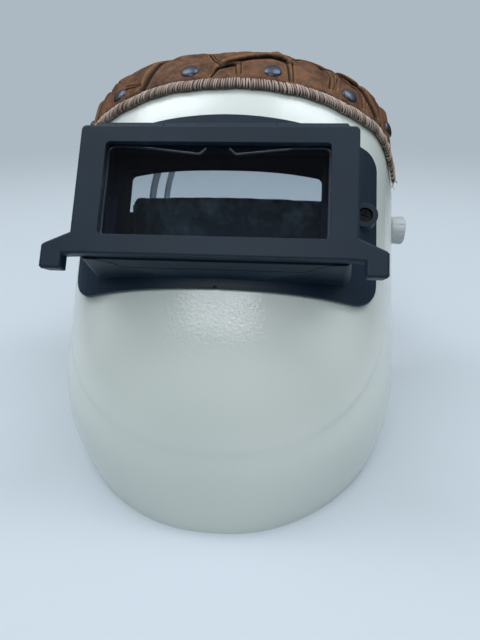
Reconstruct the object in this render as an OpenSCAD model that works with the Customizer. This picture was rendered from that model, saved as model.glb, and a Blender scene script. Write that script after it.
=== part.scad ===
// Welding hood with a lift-front lens holder, a leather-trimmed brow and a
// ratchet headgear.
//
// Everything is drawn in the hood's own frame: y runs from the face of the lift
// front back towards the head, z up along that face and x to the right as the
// hood faces the viewer, with the middle of the face at zero.  Left and right in
// names are the viewer's.  stand() then leans the whole hood back until the neck
// edge of the shell lies flat on z = 0.

/* [Stance] */
// Angle by which the lens leans back when the hood stands on its neck edge
lean = 38; // [35:0.5:41]
// Height of the lens centre above the neck edge plane
eye_height = 168; // [164:0.5:172]

/* [Shell] */
// Half of the shell's width at the cheeks
shell_half_w = 105; // [102:0.5:110]
// Distance from the front of the shell back to its straight sides
shell_depth = 110.5; // [106:0.5:116]
// Set-back of the shell's front behind the face of the lift front
shell_front = 25.6; // [25:0.2:27]
// Wall of the shell
shell_wall = 2.6; // [2:0.1:3.4]
// Squareness of the shell seen from above, where 2 is an ellipse
plan_n = 2.43; // [2.2:0.01:2.6]
// How far the cheeks draw in towards the chin
chin_narrow = 48; // [40:1:54]
// How far the chin tucks back under the face
chin_tuck = 33.5; // [28:0.5:38]
// How far the brow rolls back above the lens
brow_tuck = 11; // [8:0.5:14]
// Height of the top rim at the front, above the lens centre
brow_top = 101; // [97:0.5:106]
// Rear end of the side wings, level with the pivots
ear_rear = 164; // [160:0.5:168]

/* [Lens holder] */
// Width of the lift front
front_w = 130.6; // [126.6:0.5:134.6]
// Height of the lift front
front_h = 63.4; // [62:0.2:65]
// Depth of the lift front from its face to the parting line
front_d = 9; // [8.6:0.1:9.4]
// Width of the lens plates
plate_w = 108; // [105:0.5:109]
// Height of the lens plates
plate_h = 50.8; // [49:0.2:51.4]
// Thickness of the outer clear plate
front_plate_t = 1.2; // [0.8:0.1:1.4]
// Thickness of the inner clear plate
inner_plate_t = 1.5; // [1:0.1:2]
// Thickness of the holder's flange on the shell
flange_t = 2.5; // [1.8:0.1:3.2]
// Radius of the steel hinge pin
pin_r = 1.25; // [1:0.05:1.5]
// Radius of the hinge knuckles
knuckle_r = 3.4; // [3:0.1:3.8]

/* [Leather trim] */
// Thickness of the leather
leather_t = 1.8; // [1.2:0.1:2.4]
// Width of the whip-stitched edge
stitch_w = 5.6; // [4.5:0.1:6.5]
// Radius of the rivet heads
rivet_r = 4.9; // [4:0.1:5.6]

/* [Headgear] */
// Distance of the pivots behind the face of the lift front
pivot_y = 129; // [125:0.5:133]
// Height of the pivots above the lens centre
pivot_z = 31; // [28:0.5:34]
// Tilt of the headgear at rest, brow down
gear_tilt = 20; // [16:0.5:24]
// Outer radius of the headband's round front and rear
band_r = 77; // [75:0.5:78]
// Length of the headband's straight sides
band_straight = 42; // [40:0.5:46]
// Thickness of the headband
band_t = 1.8; // [1.4:0.1:2.2]
// Height of the headband
band_h = 25; // [22:0.5:28]
// Height of the crown straps above the middle of the headband
crown_h = 80; // [74:0.5:88]
// Radius of the tilt knobs
tilt_knob_r = 9.7; // [9:0.1:11]
// Radius of the ratchet knob
ratchet_r = 17; // [15:0.5:19]

/* [Hidden] */
$fn = 48;
eps = 0.01;
gap = 0.3;              // seat clearance between neighbouring pieces

// --- shell form ---------------------------------------------------------
side_y = shell_front + shell_depth;   // where the straight sides begin
chin_w_top = -65;       // height below which the cheeks draw in
chin_f_top = -57;       // height below which the chin tucks back
brow_f_low = 40;        // height above which the brow rolls back
brow_w_low = 30;        // height above which the sides draw in
brow_narrow = 4;
rim_drop = 16;          // fall of the top rim from the brow to the temples
rim_fall = 15;          // distance over which it falls
rear_rake = 0.24;       // the rear edge runs back as it goes down
ear_y = 108;            // start of the rounded upper rear corner
ear_r = 60;
jaw_r = 18;             // rounding of the lower rear corner
front_cols = 40;
wing_cols = 5;
rows = 30;
cols = front_cols + 2*wing_cols;
settle = 22;            // passes that settle a rim height on the curved face
neck_zero = -eye_height/cos(lean);

function cut_in(z) = max(0, chin_w_top - z)/100;
function tuck_in(z) = max(0, chin_f_top - z)/100;
function brow_in(z) = max(0, z - brow_f_low)/50;
function half_w(z) = shell_half_w - chin_narrow*pow(cut_in(z), 2.5)
                     - brow_narrow*pow(max(0, z - brow_w_low)/75, 2);
function front_y(z) = shell_front + chin_tuck*pow(tuck_in(z), 2.1)
                      + brow_tuck*pow(brow_in(z), 2);
// growth of a horizontal offset where the face slopes, so the wall stays even
function side_slope(z) = chin_narrow*0.025*pow(cut_in(z), 1.5);
function face_slope(z) = max(chin_tuck*0.021*pow(tuck_in(z), 1.1),
                             brow_tuck*0.04*brow_in(z));
function plan_pt(phi, z, off) =
    let (a = half_w(z) + off*sqrt(1 + pow(side_slope(z), 2)),
         d = side_y - front_y(z) + off*sqrt(1 + pow(face_slope(z), 2)),
         r = pow(pow(abs(sin(phi))/a, plan_n) + pow(abs(cos(phi))/d, plan_n),
                 -1/plan_n))
    [r*sin(phi), side_y - r*cos(phi)];
function rear_y(z) = ear_rear - rear_rake*(z - pivot_z);
// column c runs from the rear of one wing (0) round the face to the other (cols)
function col_phi(c) = 180*min(max(c - wing_cols, 0), front_cols)/front_cols - 90;
function col_wing(c) = max(0, wing_cols - c, c - wing_cols - front_cols)/wing_cols;
function face_pt(c, z, off) =
    let (p = plan_pt(col_phi(c), z, off))
    [p[0], p[1] + col_wing(c)*(rear_y(z) - side_y), z];

// depth of the shell's outer face at a given x, level with the lens
function shell_y(x) =
    side_y - shell_depth*pow(1 - pow(min(1, abs(x)/shell_half_w), plan_n), 1/plan_n);
// half width of the shell at a given depth, level with the pivots
function wall_x(y) =
    half_w(pivot_z)*pow(1 - pow(max(0, side_y - y)/shell_depth, plan_n), 1/plan_n);

jaw_y = rear_y(neck_zero + (ear_rear + 22)*tan(lean)) - jaw_r;
function rise(y, from, r) = let (d = min(max(0, y - from), 0.97*r)) r - sqrt(r*r - d*d);
function neck_edge(y) = neck_zero + y*tan(lean) + rise(y, jaw_y, jaw_r);
function brow_edge(y, top, drop, fall) =
    top - drop*(1 - exp(-max(0, y - front_y(top))/fall)) - rise(y, ear_y, ear_r);
function rim_edge(y) = brow_edge(y, brow_top, rim_drop, rim_fall);
function low_z(c, off, z, k) =
    k == 0 ? z : low_z(c, off, neck_edge(face_pt(c, z, off)[1]), k - 1);
function top_z(c, off, z, k) =
    k == 0 ? z : top_z(c, off, rim_edge(face_pt(c, z, off)[1]), k - 1);

// --- lens holder --------------------------------------------------------
plate_fit = 0.3;        // clearance round each lens plate
plate_z = 1;            // the lens centre sits this far above the face centre
pocket_w = plate_w + 2*plate_fit;
pocket_h = plate_h + 2*plate_fit + 0.6;
view_w = plate_w - 4.8; // clear width between the ledges
view_h = plate_h - 3.2;
opening_w = 105;        // opening in the lift front
opening_h = 45.4;
face_t = 3;
edge_r = 1.1;           // rounding of the lift front's face
front_low = -31.1;      // lower edge of the lift front
front_top = front_low + front_h;
base_y = front_d + gap; // front plane of the fixed base
ledge_y = 19;           // the inner plate rests against this ledge
tunnel_wall = 2;
cutout_fit = 0.6;
box_w = 127;            // the base where it meets the lift front
box_top = 29.5;
box_sink = 35.6;        // the box's underside at the middle of the flange
skirt_y = 15;           // depth of the lift front's lower skirt at its middle
skirt_flat = 41;
skirt_end = 55;
skirt_z = -28.8;
flange_w = 166;
flange_top = 52.4;      // at the middle, from where both edges fall
flange_low = -40;
flange_arch = 8;        // fall of the upper edge towards the corners
gate_r = 1.1;           // the moulding gate's mark in the middle of the lower edge
flange_dip = 3;         // fall of the lower edge towards the corners
flange_r = [9, 13];     // rounding of the upper and lower corners
hinge_y = 8.5;
hinge_z = front_top + 2.2;
hinge_half = 61.5;
knuckle_mid = 27;       // half width of the base's knuckle
knuckle_soft = 1.2;     // bevel at the outer ends of the lift front's knuckles
pin_fit = 0.08;
ear_x = 78.3;           // tip of the lifting ears
ear_low = -38.4;
leg_x = 68.3;
boss_x = 75;
boss_z = 7;
boss_r = 6.8;
boss_y = shell_y(boss_x) - 6.6;
screw_r = 2;
screw_head_r = 3.6;
nut_y = shell_y(boss_x) + 10.9;
screw_from = boss_y - 2.5;              // the screw holes run between these depths
screw_to = nut_y + 10;
funnel_half = 68.5;     // half width of the box where it meets the shell
funnel_y = shell_y(funnel_half) + 2.2;
wire_r = 0.6;
wire_bend = 4;          // radius of the wire's corners

// --- leather trim -------------------------------------------------------
seam_front = 71.4;      // lower edge of the stitching at the middle
seam_drop = 10;         // fall of the seam to the temples
seam_fall = 14;         // distance over which it falls
tail_y = 58;            // behind this depth the strip's ends hang down
tail_len = 24;
tail_drop = 18;
trim_phi = 59.5;        // the trim ends at this angle round the brow
trim_cols = 36;
fold_in = 16;           // the leather folds over the rim by this much
rivet_phi = [-55.5, -35.4, -12.4, 12.6, 35.8, 55.5]; // angles of the rivets round the brow
rivet_rise = 12;        // height of the rivets above the lower seam

// --- headgear -----------------------------------------------------------
arc_f = 5;              // centre of the headband's round front
arc_r = arc_f + band_straight;
band_in = band_r - band_t;
tail_h = 16;            // height of the band and straps at the rear
tail_from = 36;         // the band ends at this angle from the rear middle
strap_t = 1.4;
strap_w = 14;
crown_t = 1.5;
crown_n = 2.6;          // fullness of the crown arches, where 2 is an ellipse
crown_y = [26, 57];     // front edge of each crown strap
pad_phi = 50;
pad_h = 35;
pad_z = -1.5;           // the brow pad sits this much low on the band
pad_out = 4.5;          // brow pad thickness outside the band
pad_inner = 5;
arm_t = 2.4;
arm_r = 11;             // radius of the arms' inner washers
arm_x = wall_x(pivot_y - arm_r) - shell_wall - gap - 2.2 - gap;   // outer face of the arms
stud_r = 3;
stud_fit = 0.08;        // running clearance of each stud in the shell
washer_t = 1.2;
washer_x = wall_x(pivot_y + arm_r) + gap;
knob_x = washer_x + washer_t + gap;
knob_t = 9.6;
nape_r1 = band_r + gap;                   // inner radius of the left nape strap
nape_r2 = nape_r1 + strap_t + 0.4;        // inner radius of the right one
nape_end = 62;
nape_over = 12;
slot_h = 3.4;           // half height of the slot in each nape strap
pinion_r = 2.8;         // pitch radius of the ratchet pinion
pinion_n = 8;
tooth_h = 0.6;
shaft_r = 2.2;
house_phi = 24;
house_in = band_in - gap;
house_out = nape_r2 + strap_t + 0.5 + 2.4;
knob_len = 12;
knob_edge = 3;          // rounding of the ratchet knob's rim

// --- where the hood stands ------------------------------------------------
// The origin lies under the middle of the hood's length, on the neck plane.
low_front = low_z(cols/2, 0, -120, settle);
front_reach = min([for (j = [0:20]) let (z = low_front + 4*j)
                   front_y(z)*cos(lean) + z*sin(lean)]);
rear_reach = (pivot_y*cos(lean) + pivot_z*sin(lean))
             + (arc_r + house_out + gap + knob_len - knob_edge)*cos(lean - gear_tilt)
             + (ratchet_r - knob_edge)*sin(lean - gear_tilt) + knob_edge;
stand_y = (front_reach + rear_reach)/2;

module stand() {
    translate([0, -stand_y, eye_height]) rotate([-lean, 0, 0]) children();
}
module gear() {
    stand() translate([0, pivot_y, pivot_z]) rotate([gear_tilt, 0, 0]) children();
}
// a flat x-z outline between two depths
module slab_y(y0, y1) {
    translate([0, y1, 0]) rotate([90, 0, 0]) linear_extrude(y1 - y0) children();
}
// a flat y-z outline between two x positions
module slab_x(x0, x1) {
    translate([x0, 0, 0]) rotate([90, 0, 90]) linear_extrude(x1 - x0) children();
}
module rod_x(x0, x1, r) {
    translate([x0, 0, 0]) rotate([0, 90, 0]) cylinder(h = x1 - x0, r = r);
}
module rod_y(y0, y1, r) {
    translate([0, y0, 0]) rotate([-90, 0, 0]) cylinder(h = y1 - y0, r = r);
}
module rounded(x0, x1, z0, z1, r) {
    translate([x0 + r, z0]) square([x1 - x0 - 2*r, z1 - z0]);
    translate([x0, z0 + r]) square([x1 - x0, z1 - z0 - 2*r]);
    for (x = [x0 + r, x1 - r], z = [z0 + r, z1 - r]) translate([x, z]) circle(r);
}
module mirrored() {
    children();
    mirror([1, 0, 0]) children();
}
// A closed profile carried from ring to ring, with flat ends.
module sweep(rings) {
    m = len(rings[0]);
    n = len(rings);
    pts = [for (r = rings, p = r) p];
    sides = [for (i = [0:n - 2], j = [0:m - 1], k = [0, 1])
             let (a = i*m + j, b = i*m + (j + 1) % m)
             k == 0 ? [a, b, b + m] : [a, b + m, a + m]];
    ends = [[for (j = [m - 1:-1:0]) j], [for (j = [0:m - 1]) (n - 1)*m + j]];
    polyhedron(pts, concat(sides, ends), convexity = 6);
}
// everything behind the face of the shell, moved out by off
module face_solid(off, z0, z1) {
    outline = [for (i = [0:2:120]) plan_pt(1.5*i - 90, 0, off)];
    back = [[shell_half_w + off, side_y + 60], [-shell_half_w - off, side_y + 60]];
    translate([0, 0, z0]) linear_extrude(z1 - z0) polygon(concat(outline, back));
}

// ==== shell =================================================================
// Two grids, the outer face and the inner one, joined round their edges.
module shell_skin() {
    zl = [for (o = [0, -shell_wall]) [for (c = [0:cols]) low_z(c, o, -120, settle)]];
    zt = [for (o = [0, -shell_wall]) [for (c = [0:cols]) top_z(c, o, 90, settle)]];
    n = (cols + 1)*(rows + 1);
    pts = [for (s = [0, 1], c = [0:cols], j = [0:rows])
           face_pt(c, zl[s][c] + (zt[s][c] - zl[s][c])*j/rows, -s*shell_wall)];
    function at(s, c, j) = s*n + c*(rows + 1) + j;
    outer = [for (c = [0:cols - 1], j = [0:rows - 1], k = [0, 1])
             k == 0 ? [at(0, c, j), at(0, c, j + 1), at(0, c + 1, j + 1)]
                    : [at(0, c, j), at(0, c + 1, j + 1), at(0, c + 1, j)]];
    inner = [for (c = [0:cols - 1], j = [0:rows - 1], k = [0, 1])
             k == 0 ? [at(1, c, j), at(1, c + 1, j + 1), at(1, c, j + 1)]
                    : [at(1, c, j), at(1, c + 1, j), at(1, c + 1, j + 1)]];
    edge_b = [for (c = [0:cols - 1], k = [0, 1])
              k == 0 ? [at(0, c, 0), at(0, c + 1, 0), at(1, c + 1, 0)]
                     : [at(0, c, 0), at(1, c + 1, 0), at(1, c, 0)]];
    edge_t = [for (c = [0:cols - 1], k = [0, 1])
              k == 0 ? [at(0, c, rows), at(1, c + 1, rows), at(0, c + 1, rows)]
                     : [at(0, c, rows), at(1, c, rows), at(1, c + 1, rows)]];
    edge_l = [for (j = [0:rows - 1], k = [0, 1])
              k == 0 ? [at(0, 0, j), at(1, 0, j + 1), at(0, 0, j + 1)]
                     : [at(0, 0, j), at(1, 0, j), at(1, 0, j + 1)]];
    edge_r = [for (j = [0:rows - 1], k = [0, 1])
              k == 0 ? [at(0, cols, j), at(0, cols, j + 1), at(1, cols, j + 1)]
                     : [at(0, cols, j), at(1, cols, j + 1), at(1, cols, j)]];
    polyhedron(pts, concat(outer, inner, edge_b, edge_t, edge_l, edge_r));
}
module window_outline(grow) {
    rounded(-view_w/2 - grow, view_w/2 + grow,
            plate_z - view_h/2 - grow, plate_z + view_h/2 + grow, 2.5);
}
module shell() {
    color("whitesmoke") stand() difference() {
        shell_skin();
        slab_y(0, 70) window_outline(tunnel_wall + cutout_fit);
        translate([0, pivot_y, pivot_z])
            rod_x(-shell_half_w - 5, shell_half_w + 5, stud_r + stud_fit);
        mirrored() translate([boss_x, 0, boss_z]) rod_y(screw_from, screw_to, screw_r + gap);
        rivet_places() rod_y(-8, 8, rivet_shank + 0.25);
    }
}

// ==== fixed lens base =======================================================
module funnel() {
    hull() {
        slab_y(base_y - gap, base_y + 0.5)
            rounded(-box_w/2, box_w/2, front_low, box_top, 3);
        slab_y(funnel_y, funnel_y + 0.5) rounded(-funnel_half, funnel_half, -34.2, 33, 6);
        translate([-20, shell_front - 2, -box_sink]) cube([40, 1, 5]);
    }
}
// plan of the lift front's skirt: deep in the middle, easing out to the corners
module skirt_plan(grow) {
    ease = [for (i = [0:8]) let (t = i/8)
            [skirt_flat + (skirt_end - skirt_flat)*t,
             skirt_y - (skirt_y - front_d)*(1 - cos(180*t))/2]];
    side = [for (p = ease) [p[0] + grow, p[1] + grow]];
    other = [for (i = [8:-1:0]) [-side[i][0], side[i][1]]];
    polygon(concat([[-skirt_end - grow, 4]], other, side, [[skirt_end + grow, 4]]));
}
module skirt_space(grow) {
    translate([0, 0, -45])
        linear_extrude(skirt_z + 45 + grow) skirt_plan(grow);
}
// The flange's outline: both long edges fall towards the rounded corners.
function flange_fall(x) = pow(abs(x)/(flange_w/2), 1.6);
function flange_corner(up, turn) =
    let (r = flange_r[up ? 0 : 1], x = flange_w/2 - r,
         z = up ? flange_top - flange_arch*flange_fall(x) - r
                : flange_low - flange_dip*flange_fall(x) + r)
    [x + r*cos(turn), z + (up ? 1 : -1)*r*sin(turn)];
module flange_outline() {
    steps = 12;
    top = [for (i = [0:steps]) let (x = (flange_w/2 - flange_r[0])*i/steps)
           [x, flange_top - flange_arch*flange_fall(x)]];
    low = [for (i = [steps:-1:0]) let (x = (flange_w/2 - flange_r[1])*i/steps)
           [x, flange_low - flange_dip*flange_fall(x)]];
    half = concat(top, [for (a = [75:-15:0]) flange_corner(true, a)],
                  [for (a = [0:15:75]) flange_corner(false, a)], low);
    last = len(half) - 1;
    polygon(concat(half, [for (i = [last - 1:-1:1]) [-half[i][0], half[i][1]]]));
}
module base_lug(x0, x1) {
    slab_x(x0, x1) {
        translate([hinge_y, hinge_z]) circle(knuckle_r);
        polygon([[base_y, box_top - 2], [16, box_top - 2], [16, box_top + 0.5],
                 [hinge_y + knuckle_r, hinge_z], [base_y, hinge_z - 1]]);
    }
}
module lens_base() {
    color("#232a31") stand() difference() {
        union() {
            intersection() {
                difference() {
                    face_solid(gap + flange_t, flange_low - flange_dip - 1, flange_top + 1);
                    face_solid(gap, flange_low - flange_dip - 2, flange_top + 2);
                }
                slab_y(0, side_y) flange_outline();
            }
            difference() {
                union() {
                    funnel();
                    mirrored() translate([boss_x, 0, boss_z]) rod_y(boss_y, nut_y, boss_r);
                }
                face_solid(gap, flange_low - 1, flange_top + 1);
                slab_y(-5, base_y) rounded(-90, 90, -60, 60, 1);
                skirt_space(gap);
            }
            difference() {
                slab_y(ledge_y - 3, 70) window_outline(tunnel_wall);
                face_solid(-shell_wall - 3, -60, 60);
            }
            base_lug(-knuckle_mid, knuckle_mid);
        }
        slab_y(-5, 80) window_outline(0);
        slab_y(-5, ledge_y) rounded(-pocket_w/2, pocket_w/2, plate_z - pocket_h/2,
                                    plate_z + pocket_h/2, 1);
        mirrored() translate([boss_x, 0, boss_z]) {
            rod_y(screw_from, screw_to, screw_r + 0.15);
            rod_y(screw_from, boss_y + 4, screw_head_r + 0.4);
        }
        translate([0, hinge_y, hinge_z]) rod_x(-front_w/2, front_w/2, pin_r + pin_fit);
        translate([0, shell_front - gap - flange_t/2, flange_low]) rotate([90, 0, 0])
            cylinder(h = 20, r = gate_r);
    }
}
// cross-recessed screws that clamp the base, shell and wedges together
module holder_screws() {
    color("#15191d") stand() mirrored() translate([boss_x, 0, boss_z]) difference() {
        union() {
            rod_y(boss_y + 1.4, boss_y + 3.8, screw_head_r);
            rod_y(boss_y + 3.5, nut_y + 3.8, screw_r);
        }
        for (a = [0, 90]) translate([0, boss_y + 1.4, 0]) rotate([0, a + 20, 0])
            cube([4, 2.4, 0.9], center = true);
    }
}
module clamp_wedges() {
    color("#2b3036") stand() mirrored() intersection() {
        translate([boss_x, 0, boss_z]) difference() {
            rod_y(screw_from, nut_y, 6.5);
            rod_y(screw_from - 1, screw_to, screw_r + 0.15);
        }
        face_solid(-shell_wall - gap, -20, 40);
    }
}
module clamp_nuts() {
    color("silver") stand() mirrored() translate([boss_x, nut_y + 0.1, boss_z])
        difference() {
            rotate([-90, 0, 0]) cylinder(h = 3.2, r = 3.9, $fn = 6);
            rod_y(-1, 5, screw_r + 0.05);
        }
}
module lens_plate(y0, t) {
    slab_y(y0, y0 + t) rounded(-plate_w/2, plate_w/2, plate_z - plate_h/2,
                               plate_z + plate_h/2, 0.8);
}
module inner_cover_plate() {
    color("lightcyan", 0.35) stand() lens_plate(ledge_y - 0.2 - inner_plate_t, inner_plate_t);
}
// sprung clips that hold the inner plate against its ledge
module plate_clips() {
    clip_y = ledge_y - 0.2 - inner_plate_t - 0.2;
    color("#1b2127") stand() mirrored() translate([-pocket_w/2 + 0.15, clip_y, -19])
        linear_extrude(21) polygon([[0, 0], [3.6, 0], [3.6, -0.9], [1.1, -1.8],
                                    [1.1, -6.2], [0, -6.2]]);
}

// ==== lift front ============================================================
// A convex outline with its front edge rounded in steps.
module soft_front(depth) {
    hull() for (a = [0:22.5:90])
        slab_y(edge_r*(1 - sin(a)), a == 90 ? depth : edge_r*(1 - sin(a)) + 0.02)
            offset(delta = -edge_r*(1 - cos(a))) children();
}
module lift_body() {
    soft_front(front_d) rounded(-front_w/2, front_w/2, front_low, front_top, 2.4);
    mirrored() {
        soft_front(front_d) polygon([[front_w/2 - 6, -20.9], [front_w/2, -20.9],
            [ear_x - 1, -26.4], [ear_x, -27.5], [ear_x, -32], [front_w/2 - 6, front_low]]);
        soft_front(front_d) polygon([[leg_x, -28], [ear_x, -28], [ear_x, ear_low + 1],
            [ear_x - 1, ear_low], [leg_x + 1, ear_low], [leg_x, ear_low + 1]]);
    }
}
module lift_knuckle(x0, x1) {
    slab_x(x0, x1) {
        translate([hinge_y, hinge_z]) circle(knuckle_r);
        polygon([[3, front_top - 0.5], [hinge_y, front_top - 0.5],
                 [hinge_y, hinge_z], [hinge_y - knuckle_r, hinge_z]]);
    }
    translate([x1, hinge_y, hinge_z]) rotate([0, 90, 0])
        cylinder(h = knuckle_soft, r1 = knuckle_r, r2 = knuckle_r - knuckle_soft);
}
module lift_front() {
    color("#2b343c") stand() difference() {
        union() {
            difference() {
                lift_body();
                translate([0, hinge_y, hinge_z])
                    rod_x(-knuckle_mid - gap, knuckle_mid + gap, knuckle_r + gap);
            }
            intersection() {
                funnel();
                skirt_space(0);
            }
            mirrored() lift_knuckle(knuckle_mid + gap, hinge_half - knuckle_soft);
        }
        slab_y(-5, 5) rounded(-opening_w/2, opening_w/2, plate_z - opening_h/2,
                              plate_z + opening_h/2, 2);
        slab_y(face_t, front_d + 1) rounded(-pocket_w/2, pocket_w/2,
            plate_z - pocket_h/2, plate_z + pocket_h/2, 1);
        mirrored() slab_y(face_t, front_d + 1)
            rounded(pocket_w/2 + 1.8, front_w/2 - 2.5, -27, 28, 1);
        translate([0, hinge_y, hinge_z]) rod_x(-front_w/2, front_w/2, pin_r + pin_fit);
    }
}
module front_cover_plate() {
    color("lightcyan", 0.35) stand() lens_plate(face_t + 0.1, front_plate_t);
}
// One wire round the pocket; its two bent ends meet at the middle of the top.
function leg(path, i) = let (v = path[i + 1] - path[i]) v/norm(v);
module cover_spring() {
    y = face_t + 0.1 + front_plate_t + 0.15 + wire_r;
    x = opening_w/2;
    zt = plate_z + opening_h/2;
    zb = plate_z - opening_h/2 - wire_r;
    bend = [for (a = [0:22.5:90]) [x - wire_bend + wire_bend*sin(a),
                                   zt - wire_bend + wire_bend*cos(a)]];
    foot = [for (a = [0:22.5:90]) [x - wire_bend + wire_bend*cos(a),
                                   zb + wire_bend - wire_bend*sin(a)]];
    half = concat([[5.5, zt - 0.8], [8.5, zt - 3.6], [x - 14.5, zt - 0.2]], bend, foot);
    last = len(half) - 1;
    path = concat(half, [for (i = [last:-1:0]) [-half[i][0], half[i][1]]]);
    color("silver") stand() sweep([for (i = [0:len(path) - 1])
        let (a = leg(path, max(i - 1, 0)), b = leg(path, min(i, len(path) - 2)),
             m = [-a[1] - b[1], a[0] + b[0]]/(1 + a*b))
        [for (t = [0:30:330])
         [path[i][0] + m[0]*wire_r*cos(t), y + wire_r*sin(t), path[i][1] + m[1]*wire_r*cos(t)]]]);
}
module hinge_pin() {
    color("silver") stand() translate([0, hinge_y, hinge_z])
        rod_x(-hinge_half + 0.5, hinge_half - 0.5, pin_r);
}

// ==== leather trim ==========================================================
function trim_col(i, n, phi) =
    let (p = phi*(2*i/n - 1)) wing_cols + (p + 90)/180*front_cols;
function seam_line(c) =
    let (y = face_pt(c, 62, 0)[1])
    seam_front - seam_drop*(1 - exp(-max(0, y - shell_front - 2.4)/seam_fall));
function seam_z(c) =
    let (t = (face_pt(c, 62, 0)[1] - tail_y)/tail_len)
    seam_line(c) - tail_drop*pow(max(0, min(1, t)), 2);
function rim_z(c) = top_z(c, 0, 90, settle);
module leather_trim() {
    out = gap + leather_t;
    inn = -shell_wall - gap - leather_t;
    color("saddlebrown") stand() difference() {
        sweep([for (i = [0:trim_cols])
            let (c = trim_col(i, trim_cols, trim_phi), s = seam_z(c) + stitch_w + 0.35,
                 r = rim_z(c), w = (r - s)/3)
            [for (q = [[out, s], [out, s + w], [out, s + 2*w], [out, r],
                       [out - 0.6, r + out - 0.5], [gap, r + out],
                       [-shell_wall - gap, r + out], [inn + 0.6, r + out - 0.5],
                       [inn, r], [inn, r - fold_in/2], [inn, r - fold_in],
                       [-shell_wall - gap, r - fold_in], [-shell_wall - gap, r - fold_in/2],
                       [-shell_wall - gap, r + gap], [gap, r + gap], [gap, s + 2*w],
                       [gap, s + w], [gap, s]])
             face_pt(c, q[1], q[0])]]);
        rivet_places() rod_y(-8, 8, rivet_shank + 0.25);
    }
}
module stitched_edge() {
    h = stitch_w/2;
    w = (leather_t + 1)/2;
    color("rosybrown") stand() sweep([for (i = [0:trim_cols])
        let (c = trim_col(i, trim_cols, trim_phi + 1.5), s = seam_z(c) + h)
        [for (a = [0:45:315])
         face_pt(c, s - h*sin(a), gap + 0.15 + w - w*cos(a))]]);
}
rivet_shank = 1.5;
rivet_seat = 0.45;       // room between a rivet's heads and the leather's facets
module rivet_places() {
    for (phi = rivet_phi)
        let (c = wing_cols + (phi + 90)/180*front_cols,
             p = face_pt(c, seam_line(c) + rivet_rise, 0),
             across = face_pt(c + 0.5, p[2], 0) - face_pt(c - 0.5, p[2], 0),
             up = face_pt(c, p[2] + 1, 0) - face_pt(c, p[2] - 1, 0),
             out = cross(across, up),
             n = out/norm(out))
        translate(p) rotate([asin(n[2])*-1, 0, atan2(n[1], n[0]) + 90]) children();
}
module rivets() {
    seat = gap + leather_t + rivet_seat;
    back = shell_wall + gap + leather_t + rivet_seat;
    color("dimgray") stand() rivet_places() rotate([90, 0, 0]) rotate_extrude()
        polygon(concat([[0, -back - 1], [3.2, -back - 1], [3.4, -back - 0.7], [3.4, -back],
                        [rivet_shank, -back], [rivet_shank, seat], [rivet_r, seat]],
                       [for (a = [0:15:90]) [rivet_r*cos(a), seat + 0.5 + 1.7*sin(a)]]));
}

// ==== headgear ==============================================================
module band_plan(r) {
    for (y = [arc_f, arc_r]) translate([0, y]) circle(r, $fn = 96);
    translate([-r, arc_f]) square([2*r, band_straight]);
}
module arc_ring(r0, r1, h, a0, a1) {
    translate([0, arc_r, 0]) rotate([0, 0, 90 + a0]) rotate_extrude(angle = a1 - a0, $fn = 120)
        translate([r0, -h/2]) square([r1 - r0, h]);
}
module headband() {
    color("#2a2e33") gear() difference() {
        translate([0, 0, -band_h/2]) linear_extrude(band_h) difference() {
            band_plan(band_r);
            band_plan(band_in);
        }
        for (s = [0, 1]) mirror([0, 0, s]) slab_x(-90, 90)
            polygon([[arc_r + 8, band_h/2 + 1], [arc_r + 8, band_h/2],
                     [arc_r + 38, tail_h/2], [200, tail_h/2], [200, band_h/2 + 1]]);
        translate([0, arc_r, -30]) linear_extrude(60)
            polygon([[0, 0], [120*sin(tail_from), 120*cos(tail_from)],
                     [0, 200], [-120*sin(tail_from), 120*cos(tail_from)]]);
        mirrored() peg_places() rod_x(-6, 6, peg_r + 0.2);
        mirrored() arm_rivet_places() rod_x(-6, 6, arm_rivet_r + 0.1);
    }
}
peg_r = 1.8;
arm_rivet_r = 1.4;
function band_x(y) = y < arc_f ? sqrt(pow(band_r, 2) - pow(arc_f - y, 2))
                   : y > arc_r ? sqrt(pow(band_r, 2) - pow(y - arc_r, 2)) : band_r;
module peg_places() {
    for (y = crown_y) translate([band_x(y + strap_w/2), y + strap_w/2, 0]) children();
}
module arm_rivet_places() {
    for (z = [-5, 5]) translate([band_r, 20, z]) children();
}
module pad_ring(r0, r1, h, half, centre_y, turn) {
    soft = min(r1 - r0, h)*0.45;
    translate([0, centre_y, 0]) rotate([0, 0, turn - half])
        rotate_extrude(angle = 2*half, $fn = 96) rounded(r0, r1, -h/2, h/2, soft);
}
module brow_pad() {
    color("#1c2126") gear() difference() {
        translate([0, 0, pad_z]) pad_ring(band_in - pad_inner, band_r + pad_out, pad_h, pad_phi, arc_f, -90);
        translate([0, 0, -band_h/2 - gap]) linear_extrude(band_h + 2*gap) difference() {
            band_plan(band_r + gap);
            band_plan(band_in - gap);
        }
    }
}
module crown_strap(y, half, high) {
    low = -9;
    function arch(a, o) =
        [sign(cos(a))*(half - o)*pow(abs(cos(a)), 2/crown_n), (high - o)*pow(sin(a), 2/crown_n)];
    outer = [for (i = [0:48]) arch(i*3.75, 0)];
    inner = [for (i = [48:-1:0]) arch(i*3.75, crown_t)];
    gear() difference() {
        slab_y(y, y + strap_w) {
            polygon(concat(outer, inner));
            for (s = [-1, 1]) translate([s*(half - crown_t/2) - crown_t/2, low])
                square([crown_t, -low + eps]);
        }
        translate([0, y + strap_w/2, 0]) rod_x(-100, 100, peg_r + 0.2);
        for (x = [-12, 0, 12]) translate([x, y + strap_w/2, high - 6])
            cylinder(h = 12, r = 1.9);
    }
}
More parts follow.
